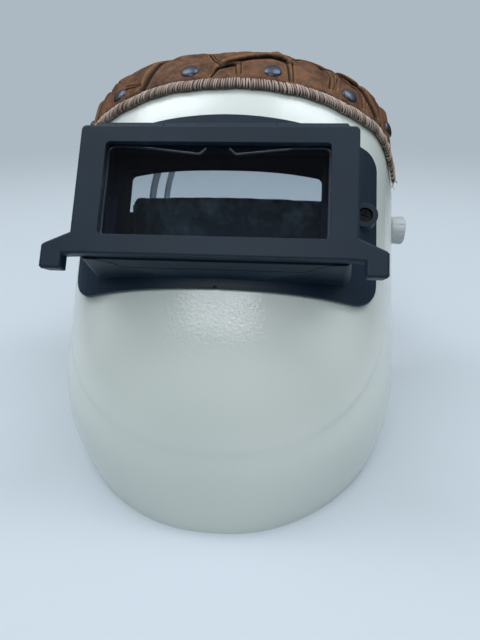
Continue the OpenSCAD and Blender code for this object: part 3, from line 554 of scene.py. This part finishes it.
def pale_ground(tint, low, high):
    """Painted board with a very faint mottle, which fades into the backdrop between two distances
    from the hood, in metres."""
    made, new, shader, v = material("painted_board", Roughness=0.7, IOR=1.4)
    reach = new("VectorMath", {0: v}, "Value", operation="LENGTH")
    fade = new("MapRange", {"Value": reach, "From Min": low, "From Max": high},
               interpolation_type="SMOOTHSTEP")
    mottle = new("TexNoise", {"Vector": v, "Scale": 0.003 / MM, "Detail": 3})
    faint = new("Math", {0: mottle, 1: 0.04}, operation="MULTIPLY")
    board = new("Mix", {0: faint, 6: shaded(tint, 1), 7: "#ffffff"}, **COLOURS)
    # light thrown back on to the hood is held down, as a real table is small
    diffuse = new("LightPath", out="Is Diffuse Ray")
    bounced = new("Math", {0: diffuse, 1: 0.55}, operation="MULTIPLY")
    feed(shader, {"Base Color": new("Mix", {0: bounced, 6: board, 7: "#5c646b"}, **COLOURS)})
    clear = new("BsdfTransparent")
    fading = new("MixShader", {0: fade, 1: shader.outputs[0], 2: clear})
    feed(made.node_tree.nodes["Material Output"], {"Surface": fading})
    return made


# ---- Sizes and colours that a user may change

def length_property(name, description, mm):
    """A length that a user may change, from its default in mm."""
    return bpy.props.FloatProperty(name=name, description=description, default=mm * MM, min=0,
                                   unit="LENGTH", precision=5)


def colour_property(name, description, hex_colour):
    """A colour that a user may change."""
    return bpy.props.FloatVectorProperty(name=name, description=description, size=3, min=0, max=1,
                                         default=linear(hex_colour)[:3], subtype="COLOR")


class HoodShellSizes(bpy.types.PropertyGroup):
    crease_step: length_property("Crease step", "How far the cheeks lie below the raised face", 0.7)
    crease_half: length_property("Crease half width", "Half the width of the raised face", 92)
    wall: length_property("Wall", "Thickness of the shell", WALL)


class HoodTrimSizes(bpy.types.PropertyGroup):
    leather: length_property("Leather", "Thickness of the brow leather", 1.8)
    puff: length_property("Puff", "How far the leather stands up between its creases", 1.5)
    pitch: length_property("Stitch pitch", "Distance from one edge stitch to the next", 1.3)


class HoodPadSizes(bpy.types.PropertyGroup):
    swell: length_property("Swell", "Most that a point of a pad may move", 3.5)
    pressure: bpy.props.FloatProperty(
        name="Pressure", description="Pressure that fills the pads", default=4.0, min=0)


class HoodColours(bpy.types.PropertyGroup):
    nylon: colour_property("Nylon", "Colour of the lift front's moulded nylon", "#152a39")
    strap: colour_property("Straps", "Colour of the crown straps", "#93a1aa")
    knob: colour_property("Knobs", "Colour of the tilt knobs", "#c6cdcf")
    table: colour_property("Table", "Colour of the table", "#d0dae1")
    backdrop: colour_property("Backdrop", "Colour of the backdrop", "#adb9c2")


# ---- Pieces

class HOOD_OT_shell(bpy.types.Operator):
    """Moulded shell with its raised face, window and pivot holes"""
    bl_idname = "hood.shell"
    bl_label = "Shell"

    def execute(self, context):
        sizes = context.scene.hood_shell
        half, step = sizes.crease_half / MM, sizes.crease_step / MM
        c = np.concatenate([np.linspace(0, 1, 14)[:-1], np.linspace(1, 2, 221)[:-1],
                            np.linspace(2, 3, 14)])
        n, rows = len(c), 150
        m = 2 * rows
        sheets = []
        for off in (0.0, -sizes.wall / MM):
            low, high = settle(neck_edge, c, off, -120.0), rim_height(c, off)
            z = low[:, None] + (high - low)[:, None] * np.linspace(0, 1, rows)
            sheet = face_point(c[:, None], z, off)
            if off == 0.0:
                sheet = face_point(c[:, None], z, crease_depth(sheet, half, step))
            sheets.append(sheet)
        # each column is a ring: up the outer face, down the inner one
        ring = np.concatenate([sheets[0], sheets[1][:, ::-1]], axis=1)
        j = np.arange(rows - 1)
        end = np.stack([j, j + 1, m - 2 - j, m - 1 - j], axis=-1)
        piece = new_piece("hood_shell", to_row(ring),
                          [grid_faces(n, m), end, end[:, ::-1] + (n - 1) * m],
                          glossy_hood_plastic())
        cutters = self.cutters()
        for cutter in cutters:
            cut = piece.modifiers.new(cutter.name, "BOOLEAN")
            cut.operation, cut.solver, cut.object = "DIFFERENCE", "EXACT", cutter
        bake(piece)
        for cutter in cutters:
            bpy.data.objects.remove(cutter)
        piece.data.set_sharp_from_angle(angle=math.radians(35))
        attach(piece, "hood")
        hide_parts("shell")
        return {"FINISHED"}

    def cutters(self):
        """The block that cuts the window, a rectangle with rounded corners carried back, and the
        bar along the studs that cuts the two pivot holes."""
        half, low, high, depth, r = 54.2, -26.4, 28.4, 72, 4.0
        a = np.linspace(0, math.pi / 2, 7) + np.arange(4)[:, None] * math.pi / 2
        x = (half - r) * np.array([[1], [-1], [-1], [1]]) + r * np.cos(a)
        z = np.array([[high - r], [high - r], [low + r], [low + r]]) + r * np.sin(a)
        x, z = x.ravel(), z.ravel()
        window = [np.stack([x, np.full(len(x), y), z], -1) for y in (depth, 0)]
        reach, r = 120, 3.4
        a = circle(32)
        y, z = AXLE_Y + r * np.cos(a), AXLE_Z + r * np.sin(a)
        pivots = [np.stack([np.full(len(y), x), y, z], -1) for x in (-reach, reach)]
        return [new_piece(name, to_row(rings), rod_faces(2, len(rings[0])))
                for name, rings in (("window", window), ("pivots", pivots))]


TRIM_END = 59.5        # the brow strip ends at this angle to each side, its stitching 1.5 further
SEAM_HIGH = 5.4        # height of the stitching, above which the leather shows

# Creases pressed into the brow leather: half width in mm, how dark their painted shade is, then
# points as arc length along the brow in mm and share of the strip's height from the stitching (0)
# to the rim (1). More than 1 runs over the rim.
CREASES = [
    # the wide slanting folds that overlap the next scale
    (1.4, 1.0, [(-49, 0.1), (-48, 0.4), (-46.5, 0.8), (-44.5, 1.0), (-38, 1.1)]),
    (1.3, 1.0, [(-5.5, 0.48), (-1, 0.66), (9, 0.8), (21, 0.93), (27, 0.89), (31, 0.82)]),
    (1.0, 1.0, [(-5.5, 0.44), (-2, 0.5), (1, 0.55)]),
    (1.3, 1.0, [(30, 1.1), (40, 1.22), (55, 1.12), (66, 1.02), (78, 0.9), (84, 0.6), (88, 0.3)]),
    # scale edges between the rivets, drawn as pairs of lines
    (0.5, 0.8, [(-65, 0.5), (-58, 0.42), (-51, 0.3)]),
    (0.4, 0.6, [(-65, 0.62), (-58, 0.5), (-52, 0.38)]),
    (0.9, 1.0, [(-66, 1.12), (-73, 1.05), (-79, 0.85), (-78.5, 0.6), (-77.5, 0.3)]),
    (0.5, 0.85, [(-14.5, 1.0), (-10, 0.71), (-5.5, 0.49)]),
    (0.4, 0.7, [(-13, 1.03), (-8.5, 0.74), (-4, 0.53)]),
    (0.65, 1.0, [(-5.5, 0.48), (-8, 0.33), (-10, 0.12)]),
    (0.45, 0.6, [(2, 0.6), (3.5, 0.2)]),
    (0.4, 0.5, [(5.3, 0.62), (5.7, 0.22)]),
    (0.6, 0.8, [(31, 0.86), (32, 0.6), (32, 0.15)]),
    (0.45, 0.7, [(34.8, 0.9), (34.5, 0.5), (34, 0.15)]),
    (0.5, 0.75, [(36, 0.97), (43, 1.03), (51, 0.97), (57, 0.79), (54.5, 0.3)]),
    (0.45, 0.6, [(60, 0.87), (59.5, 0.65), (57, 0.3)]),
    (0.4, 0.5, [(62.3, 0.82), (60, 0.57), (58.3, 0.3)]),
    (0.55, 0.8, [(64, 0.91), (70, 0.8), (75, 0.77), (77.5, 0.6), (76.5, 0.25)]),
    (0.4, 0.6, [(80.4, 0.53), (78.7, 0.26)]),
    # the fold at the left end and plain edges towards both tails
    (0.9, 1.0, [(-91, 0.15), (-92, 0.6), (-93, 1.1)]),
    (0.5, 0.7, [(-104, 0.2), (-106, 1.0)]),
    (0.5, 0.7, [(96, 0.2), (98, 1.0)]),
    (0.5, 0.7, [(110, 0.15), (112, 1.0)]),
]


def crease_field(u, v, band):
    """Pillow, groove, painted shade, lip and pale edge of the leather at arc length u and height v
    above the stitching (mm), where band is the strip's height.

    For each crease of half width w the distance d to its curve gives a groove exp(-(d/w)^2), a
    painted shade like it that stands for the shadow in the groove and under the lip, and a pale
    edge about d = 2w. On the curve's upper side the leather stands up in a lip, most of all beside
    the wide creases. Between creases it rises by 1 - exp(-(d/4)^2) to a pillow."""
    near = np.full(u.shape, 1e3)
    groove, dark, lip, pale = (np.zeros(u.shape) for _ in range(4))
    for width, depth, points in CREASES:
        wide = width > 0.8
        curve = smooth_path(points)
        curve[:, 1] *= np.interp(curve[:, 0], u[:, 0], band[:, 0])
        low, high = curve.min(0) - 12, curve.max(0) + 12
        zone = (u > low[0]) & (u < high[0]) & (v > low[1]) & (v < high[1])
        at = np.stack([u[zone], v[zone]], 1)
        a, way = curve[:-1], np.diff(curve, axis=0)
        t = np.clip(((at[:, None] - a) * way).sum(2) / (way**2).sum(1), 0, 1)
        off = at[:, None] - (a + way * t[..., None])
        gap = np.hypot(off[..., 0], off[..., 1])
        k = gap.argmin(1)
        row = np.arange(len(k))
        d = gap[row, k]
        above = way[k, 0] * off[row, k, 1] - way[k, 1] * off[row, k, 0] > 0
        # the painted shade is sharp against the raised side, and soft where it runs out on the
        # other
        shade = width * np.where(above, 0.8, 1.9 if wide else 1.1)
        rise = np.exp(-(np.maximum(d - 1.2 * width, 0) / (3.2 * width)) ** 2)
        rise *= (1.5 if wide else 0.3) * above * smooth_step(d / width)
        near[zone] = np.minimum(near[zone], d)
        for field, value in ((groove, min(1.0, 0.35 + width) * np.exp(-(d / width) ** 2)),
                             (pale, np.exp(-((d - 2 * width) / (0.9 * width)) ** 2)),
                             (dark, depth * np.exp(-(d / shade) ** 2)), (lip, rise)):
            field[zone] = np.maximum(field[zone], value)
    return 1 - np.exp(-(near / 4) ** 2), groove, dark, lip, pale


class HOOD_OT_leather(bpy.types.Operator):
    """Brow strip of scale-embossed leather, folded over the rim"""
    bl_idname = "hood.leather"
    bl_label = "Leather Trim"

    def execute(self, context):
        sizes = context.scene.hood_trim
        thick, puff = sizes.leather / MM, sizes.puff / MM
        gap = 0.3                   # between the leather and the shell
        tuck = 0.8                  # the fold begins this far below the rim
        fold, lining = 2.9, 1.1     # rise of the fold's outside and inside
        tail = 15.2                 # length of the strip inside the hood
        c = 1.5 + np.linspace(-TRIM_END, TRIM_END, 620) / 180
        u = brow_length(c)
        foot, rim = seam_height(c) + SEAM_HIGH, rim_height(c)
        out, inn = gap + thick, -WALL - gap - thick
        mid, half = (out + inn) / 2, (out - inn) / 2
        # the section goes up the outside, over the rim in half an ellipse, down the inside, and
        # back up and over within
        up, down = np.linspace(0, 1, 62), np.linspace(0, 1, 10)
        turn = np.linspace(0, math.pi, 26)[1:-1]
        back = turn[::3][::-1]
        band = (rim - tuck - foot)[:, None]
        top, low, foot = (line[:, None] for line in (rim - tuck, rim - (tuck + tail), foot))
        z = np.concatenate([foot + band * up, top + fold * np.sin(turn), top - tail * down,
                            low + tail * down[::2], top + lining * np.sin(back),
                            foot + band * up[::8][::-1]], axis=1)
        off = np.concatenate([out + 0 * up, mid + half * np.cos(turn), inn + 0 * down,
                              inn + thick + 0 * down[::2], mid + (half - thick) * np.cos(back),
                              out - thick + 0 * up[::8]])
        off = np.repeat(off[None], len(c), 0)
        outer = len(up) + len(turn) + len(down)
        # outward direction of the section in (offset, height)
        facing = np.concatenate([np.stack([1 + 0 * up, 0 * up]),
                                 np.stack([np.cos(turn), np.sin(turn)]),
                                 np.stack([-1 + 0 * down, 0 * down])], axis=1)
        step = np.hypot(np.diff(z[:, :outer], axis=1), np.diff(off[:, :outer], axis=1))
        v = np.concatenate([np.zeros((len(c), 1)), np.cumsum(step, axis=1)], axis=1)
        u = np.repeat(u[:, None], outer, 1)
        pillow, groove, dark, lip, pale = crease_field(u, v, np.repeat(band, outer, 1))
        # slow waves keep the strip from lying quite even, and two bulges sit on its rim (mm)
        wave = (0.5 * np.sin(u / 7.1 + 0.6 * np.sin(v / 5)) * np.sin(v / 9.5 + u / 23)
                + 0.35 * np.sin(u / 3.3 + v / 4.1))
        bulge = (1.0 * np.exp(-((u - 27) / 5) ** 2 - ((v - band - 3) / 4) ** 2)
                 + 1.2 * np.exp(-((u + 74) / 6) ** 2 - ((v - band) / 5) ** 2))
        # the rim is crumpled, most of all to the right, in valleys where a sine crosses nought
        most = 0.3 + 0.7 * np.exp(-((u - 62) / 30) ** 2) + 0.5 * np.exp(-((u + 84) / 12) ** 2)
        crumple = (1 - np.abs(np.sin(u / 4.6 + 1.5 * np.sin(v / 4.3 + u / 15)))) ** 3
        crumple = crumple * smooth_step((v - 0.78 * band) / 3) * most
        # painted shade: the crumple's valleys are darkened as well as sunk
        dark = np.maximum(dark, 0.75 * crumple)
        relief = (puff * (0.75 * pillow + 0.25 * wave) - 1.4 * groove + 0.8 * lip + bulge
                  - 1.3 * crumple)
        # it lies flat under the stitching, at its ends and inside the hood
        calm = (smooth_step(v / 3) * smooth_step((u[-1, 0] - np.abs(u)) / 4)
                * (1 - smooth_step((v - band - 8) / 6)))
        relief = np.maximum(relief * calm, 0.4 - thick)
        off[:, :outer] += relief * facing[0]
        z[:, :outer] += relief * facing[1]
        ring = face_point(c[:, None], z, off)
        n, m = ring.shape[:2]
        rest = np.zeros((n, m - outer))
        # the crease attribute carries the painted shade of the creases and the crumple, the lip
        # attribute the pale edges
        shade_and_pale_edges = {"crease": np.concatenate([dark * calm, rest], 1),
                 "lip": np.concatenate([pale * calm, rest], 1)}
        piece = new_piece("brow_leather", to_row(ring), [grid_faces(n, m)], oiled_leather(), "hood",
                          attributes=shade_and_pale_edges)
        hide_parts("leather_trim")
        return {"FINISHED"}


class HOOD_OT_stitching(bpy.types.Operator):
    """Whip-stitched lower edge of the brow leather"""
    bl_idname = "hood.stitching"
    bl_label = "Stitched Edge"

    def execute(self, context):
        pitch = context.scene.hood_trim.pitch / MM
        rng = np.random.default_rng(5)
        rise, away = 2.8, 1.85        # the roll's middle above the seam line and off the shell
        high, deep = 2.55, 1.2        # half the roll's height and depth
        turns = 15                    # rings of thread to a loop

        def seam_middle(c):
            """Height of the roll's middle. A hand-guided seam wanders in two slow waves."""
            u = brow_length(c)
            return seam_height(c) + (0.3 * np.sin(u / 6.3 + 0.8) + 0.2 * np.sin(u / 2.6)) + rise

        # the rolled edge that the thread is wound over
        c = 1.5 + np.linspace(-TRIM_END - 1.5, TRIM_END + 1.5, 280) / 180
        reach = brow_length(c)[-1]
        a = circle(14)[::-1]
        swell = 1 + 0.05 * np.sin(brow_length(c) / 2.3)[:, None]
        z = seam_middle(c)[:, None] + high * swell * np.sin(a)
        off = away + deep * swell * np.cos(a)
        core = face_point(c[:, None], z, off)
        n, m = core.shape[:2]
        # one loop of thread to each pitch, leaning towards the middle at its top
        u = np.arange(-reach + pitch / 2, reach - pitch / 4, pitch)
        u = u + rng.normal(0, 0.12 * pitch, len(u))
        k = len(u)
        turn = np.radians(np.linspace(112, -128, turns))[None, :]
        lean = (-1.5 * np.clip(u / 45, -1, 1) + rng.normal(0, 0.4, k))[:, None]
        tall = rng.normal(1, 0.12, (k, 1))
        cc = brow_columns(u[:, None] + lean * np.sin(turn) / 2)
        # a loop stands a little off the roll, most of all at its top
        loop_high = high + 0.2 + np.where(turn > 0, 0.9, 0.25) * tall
        z = seam_middle(cc) + loop_high * np.sin(turn)
        off = away + (deep + 0.3) * tall * np.cos(turn)
        paths = face_point(cc, z, off)
        h = turns // 2
        side = face_point(cc[:, h] + 0.01, z[:, h], off[:, h]) - paths[:, h]
        thin = np.where(turn > 0, 0.5, 0.3) * np.abs(np.sin(turn)) ** 3
        radius = 0.43 * rng.normal(1, 0.12, (k, 1)) * (1 - thin)
        loops = threads(paths, radius, side)
        # thread ends that have come loose at both tails, six of them to the right
        strands, rows = 9, 12
        t = np.linspace(0, 1, rows)[None, :, None]
        tail = brow_columns(np.where(np.arange(strands) < 6, reach - 0.5, 0.5 - reach))
        start = face_point(tail, seam_height(tail) + rng.uniform(0, 4, strands), 2.0)
        drift = np.stack([rng.normal(0, 1.2, strands) + 0.6 * np.sign(start[:, 0]),
                          rng.normal(0, 2.0, strands), -rng.uniform(2, 5, strands)], 1)[:, None]
        curl = rng.normal(0, 0.7, (strands, 1, 3))
        curl = curl * np.sin(t * 5 + rng.uniform(0, 6, (strands, 1, 1)))
        frays = threads(start[:, None] + drift * t + curl * t, np.full((strands, rows), 0.16),
                        np.repeat([[1.0, 0.2, 0]], strands, 0))
        points = np.concatenate([part.reshape(-1, 3) for part in (core, loops, frays)])
        first = n * m + k * turns * THREAD_SIDES
        faces = [grid_faces(n, m), thread_faces(k, turns, n * m),
                 thread_faces(strands, rows, first)]
        own = rng.uniform(-0.28, 0.24, (k, 1, 1))
        # painted shade: each loop is lighter towards its top and darker towards its foot, besides
        # its own random tone
        tone = np.clip(0.68 + 0.16 * np.sin(turn)[..., None] + own + 0 * loops[..., 0], 0.05, 1)
        tones = np.full(len(points), 0.5)
        # the rolled edge takes the darkest colour, partly the leather edge's own dark brown and
        # partly painted shade in the gaps between the loops
        tones[:n * m] = 0.05
        tones[n * m:first] = tone.reshape(-1)
        piece = new_piece("whip_stitching", to_row(points), faces, sewing_thread(), "hood",
                          attributes={"tone": tones})
        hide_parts("stitched_edge")
        return {"FINISHED"}


class HOOD_OT_pads(bpy.types.Operator):
    """Suede pads at brow and nape, puffed up by a cloth simulation"""
    bl_idname = "hood.pads"
    bl_label = "Pads"

    def execute(self, context):
        suede = black_suede()
        self.pad("brow_pad_suede", "brow_pad", -1, 5.0, (70.2, 81.5), 35.0, -1.5, 50, suede)
        self.pad("nape_pad_suede", "nape_pad", 1, 47.0, (67.0, 73.0), 30.0, 0.0, 27, suede)
        return {"FINISHED"}

    def pad(self, name, node, way, centre, radii, high, mid, spread, suede):
        """A slab bent round (0, centre) between two radii, over an angle of spread to each side,
        in front (way -1) or behind (way 1). It is high mm high about the height mid, and its
        section is a flattened superellipse of exponent 5 that narrows over the last 4 mm."""
        sizes = bpy.context.scene.hood_pads
        inner, outer = radii
        a = np.radians(np.linspace(-spread, spread, 61))
        t = circle(40)
        end = np.minimum(1, (np.radians(spread) - np.abs(a)) * outer / 4)
        close = np.sqrt(1 - (1 - end) ** 2)[:, None] * 0.75 + 0.25
        sec = (np.abs(np.cos(t)) ** 5 + np.abs(np.sin(t)) ** 5) ** (-1 / 5)
        r = (inner + outer) / 2 + (outer - inner) / 2 * np.cos(t) * sec * close * 0.86
        z = mid + high / 2 * np.sin(t) * sec * (0.93 + 0.05 * close)
        ring = np.stack([r * np.sin(a)[:, None], centre + way * r * np.cos(a)[:, None], z], -1)
        if way > 0:
            ring = ring[:, ::-1]
        piece = new_piece(name, gear_to_row(ring), rod_faces(*ring.shape[:2]), suede)
        self.fill(piece, sizes.pressure, sizes.swell)
        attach(piece, "headgear")
        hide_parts(node)

    def fill(self, piece, pressure, most):
        """Remeshes the pad evenly, lets a pressure fill it as cloth for 20 frames, and keeps each
        point within most of its place."""
        mesh = piece.modifiers.new("even", "REMESH")
        mesh.mode, mesh.voxel_size = "VOXEL", 2.2 * MM
        bake(piece)
        co = np.empty(len(piece.data.vertices) * 3, np.float32)
        piece.data.vertices.foreach_get("co", co)
        rest = co.reshape(-1, 3).copy()
        cloth = piece.modifiers.new("filling", "CLOTH").settings
        cloth.quality, cloth.mass = 6, 0.15
        cloth.tension_stiffness = cloth.compression_stiffness = 12
        cloth.shear_stiffness, cloth.bending_stiffness = 5, 0.3
        cloth.use_pressure, cloth.uniform_pressure_force = True, pressure
        cloth.shrink_min = -0.04
        cloth.effector_weights.gravity = 0
        scene = bpy.context.scene
        scene.frame_start, scene.frame_end = 1, 20
        for number in range(1, 21):
            scene.frame_set(number)
        bake(piece)
        scene.frame_set(1)
        piece.data.vertices.foreach_get("co", co)
        moved = co.reshape(-1, 3) - rest
        size = np.linalg.norm(moved, axis=1, keepdims=True)
        moved *= np.minimum(1, most / np.maximum(size, 1e-9))
        piece.data.vertices.foreach_set("co", (rest + moved).astype(np.float32).ravel())
        finer = piece.modifiers.new("smooth", "SUBSURF")
        finer.levels = finer.render_levels = 1
        bake(piece)
        polygons = piece.data.polygons
        polygons.foreach_set("use_smooth", np.ones(len(polygons), bool))
        piece.data.update()


class HOOD_OT_wire(bpy.types.Operator):
    """Round wire spring that holds the cover plate in the lift front"""
    bl_idname = "hood.wire"
    bl_label = "Wire Spring"

    def execute(self, context):
        depth, x, top, low, radius = 5.05, 52.5, 23.7, -22.3, 0.6
        # the path starts and ends at the two bent tips in the middle of the top
        half = [(5.5, top - 0.8), (8.5, top - 3.6), (38, top - 0.2), (x, top), (x, low)]
        loop = np.array([(a, depth, b) for a, b in half] + [(-a, depth, b) for a, b in half[::-1]])
        path = round_corners(loop, [1.2, 3, 4, 4, 4, 4, 3, 1.2])
        ring = tube(path, radius, 12)
        piece = new_piece("wire_spring", to_row(ring), rod_faces(*ring.shape[:2]),
                          steel("bright_spring_wire", "#6b6f75", 0.3), "lift_front",
                          sharp=40)
        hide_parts("cover_spring")
        return {"FINISHED"}


class HOOD_OT_stage(bpy.types.Operator):
    """Pale table that fades into the backdrop, soft lamps and the camera"""
    bl_idname = "hood.stage"
    bl_label = "Stage"

    def execute(self, context):
        scene = context.scene
        colours = scene.hood_colours
        scene.view_settings.view_transform = "Standard"
        # a square table that fades out before its edges, so that it looks alike from all sides
        reach = 1.5
        x, y = np.meshgrid([-reach, reach], [-reach, reach], indexing="ij")
        ground = new_piece("ground", np.stack([x, y, 0 * x], -1), [grid_faces(2, 2, closed=False)],
                           pale_ground(colours.table, 0.5, 1.35))
        scene.world = bpy.data.worlds.new("studio")
        scene.world.use_nodes = True
        scene.world.node_tree.nodes.clear()
        new = partial(add, scene.world.node_tree)
        way = new("SeparateXYZ", {0: new("TexCoord", out="Generated")}, None).outputs
        # bright overhead and dim towards the horizon, duller at the back, and dark on the viewer's
        # side, all but its ceiling, for reflections
        overhead, rear, room = (
            new("MapRange", {"Value": way[axis], "From Min": a, "From Max": b, "To Min": c,
                             "To Max": d}, interpolation_type="SMOOTHSTEP")
            for axis, a, b, c, d in (("Z", 0.0, 0.9, 0.06, 1.0), ("Y", 0.1, 0.5, 1.0, 0.42),
                                     ("Y", -0.3, 0.05, 0.05, 1.0)))
        path = new("LightPath", out=None).outputs
        seen = new("Mix", {0: path["Is Glossy Ray"], 2: 1.0, 3: room})
        level = new("Math", {0: overhead, 1: seen}, operation="MULTIPLY")
        level = new("Math", {0: level, 1: rear}, operation="MULTIPLY")
        ambient = new("Background", {"Color": "#e9eff3", "Strength": level})
        backdrop = new("Background", {"Color": shaded(colours.backdrop, 1), "Strength": 1.0})
        # the backdrop is plain to the camera, and at the back through the clear plates
        at_back = new("Math", {0: way["Y"], 1: 0.2}, operation="GREATER_THAN")
        through = new("Math", {0: path["Is Transmission Ray"], 1: at_back}, operation="MULTIPLY")
        plain = new("Math", {0: path["Is Camera Ray"], 1: through}, operation="MAXIMUM")
        shown = new("MixShader", {0: plain, 1: ambient, 2: backdrop})
        new("OutputWorld", {"Surface": shown}, None)
        self.lamp("ceiling_left", (-0.75, 0.15, 1.5), 0.45, 1.0, 6.4)
        self.lamp("ceiling_right", (0.75, 0.15, 1.5), 0.45, 1.0, 6.4)
        self.lamp("front_panel", (-0.12, -1.0, 1.2), 0.7, 0.25, 3.7)
        camera = bpy.data.cameras.new("view")
        camera.lens, camera.sensor_width = 26.69, 36.0
        camera.clip_start = 0.01
        eye = bpy.data.objects.new("view", camera)
        scene.collection.objects.link(eye)
        right = Vector((0.9957, 0.0929, -0.0068)).normalized()
        look = Vector((-0.0848, 0.874, -0.4785)).normalized()
        right = (right - look * right.dot(look)).normalized()
        stand = Matrix((right, right.cross(look), -look)).transposed().to_4x4()
        stand.translation = Vector(to_row([32.4, -200.7, -91.9]))
        eye.matrix_world = stand
        scene.camera = eye
        return {"FINISHED"}

    def lamp(self, name, at, width, height, power):
        """A soft panel in metres and watts, turned to the middle of the hood."""
        light = bpy.data.lights.new(name, "AREA")
        light.shape, light.size, light.size_y = "RECTANGLE", width, height
        light.energy, light.color = power, linear("#f4f8ff")[:3]
        lamp = bpy.data.objects.new(name, light)
        lamp.location = at
        aim = Vector((0.0, 0.0, 0.1)) - Vector(at)
        lamp.rotation_euler = aim.to_track_quat("-Z", "Y").to_euler()
        bpy.context.scene.collection.objects.link(lamp)


class HOOD_OT_finishes(bpy.types.Operator):
    """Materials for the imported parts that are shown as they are"""
    bl_idname = "hood.finishes"
    bl_label = "Finishes"

    def execute(self, context):
        colours = context.scene.hood_colours
        wear = [
            (moulded_plastic("moulded_black_nylon", colours.nylon, 0.47),
             "lift_front clamp_wedges"),
            # painted shade: the lens base's nylon is a touch darker than the lift front's, for the
            # shade under it, and its pocket walls are coloured near black
            (moulded_plastic("nylon_with_painted_pocket_shade", "#12293a", 0.47, pocket=True),
             "lens_base plate_clips"),
            (moulded_plastic("dark_polyethylene", "#1d2125", 0.45),
             "headband strap_pegs side_arm_left side_arm_right ratchet_housing ratchet_knob "
             "nape_strap_left nape_strap_right strap_keepers"),
            (moulded_plastic("friction_fibre", "#2a2c2e", 0.8),
             "inner_washer_left inner_washer_right"),
            (moulded_plastic("grey_strap_plastic", colours.strap, 0.38, soft=True),
             "crown_strap_front crown_strap_rear ratchet_pinion"),
            (moulded_plastic("light_grey_knob_plastic", colours.knob, 0.35, soft=True),
             "tilt_knob_left tilt_knob_right"),
            (steel("zinc_plated_steel", "#b9bab6", 0.35),
             "clamp_nuts arm_rivets pivot_stud_left pivot_stud_right outer_washer_left "
             "outer_washer_right"),
            (steel("gunmetal_plated_brass", "#5a606b", 0.36), "rivets"),
            (steel("blackened_steel", "#1c1e20", 0.4, 0.7), "holder_screws"),
            (steel("spring_steel_wire", "#4c4e52", 0.3), "cover_spring hinge_pin"),
            (clear_sheet(), "inner_cover_plate front_cover_plate"),
        ]
        for finish, nodes in wear:
            for node in nodes.split():
                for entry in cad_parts[node].material_slots:
                    entry.material = finish
        # lamplight passes the clear plates on to the brow pad behind them
        for node in ("inner_cover_plate", "front_cover_plate"):
            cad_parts[node].visible_shadow = False
        return {"FINISHED"}


class HOOD_PT_panel(bpy.types.Panel):
    """Sizes and operators of the welding hood"""
    bl_label = "Welding Hood"
    bl_space_type = "VIEW_3D"
    bl_region_type = "UI"
    bl_category = "Welding Hood"

    def draw(self, context):
        for group in GROUPS:
            box = self.layout.box()
            values = getattr(context.scene, group)
            for key in values.__annotations__:
                box.prop(values, key)
        for operator in OPERATORS:
            self.layout.operator(operator.bl_idname)


GROUPS = {"hood_shell": HoodShellSizes, "hood_trim": HoodTrimSizes, "hood_pads": HoodPadSizes,
          "hood_colours": HoodColours}
OPERATORS = [HOOD_OT_stage, HOOD_OT_finishes, HOOD_OT_shell, HOOD_OT_leather, HOOD_OT_stitching,
             HOOD_OT_pads, HOOD_OT_wire]


CLASSES = [*GROUPS.values(), *OPERATORS, HOOD_PT_panel]


def register():
    for cls in CLASSES:
        bpy.utils.register_class(cls)
    for name, cls in GROUPS.items():
        setattr(bpy.types.Scene, name, bpy.props.PointerProperty(type=cls))


def unregister():
    for name in GROUPS:
        delattr(bpy.types.Scene, name)
    for cls in reversed(CLASSES):
        bpy.utils.unregister_class(cls)


def main():
    register()
    bpy.ops.hood.stage()
    bpy.ops.hood.finishes()
    bpy.ops.hood.shell()
    bpy.ops.hood.leather()
    bpy.ops.hood.stitching()
    bpy.ops.hood.pads()
    bpy.ops.hood.wire()


if __name__ == "__main__":
    main()
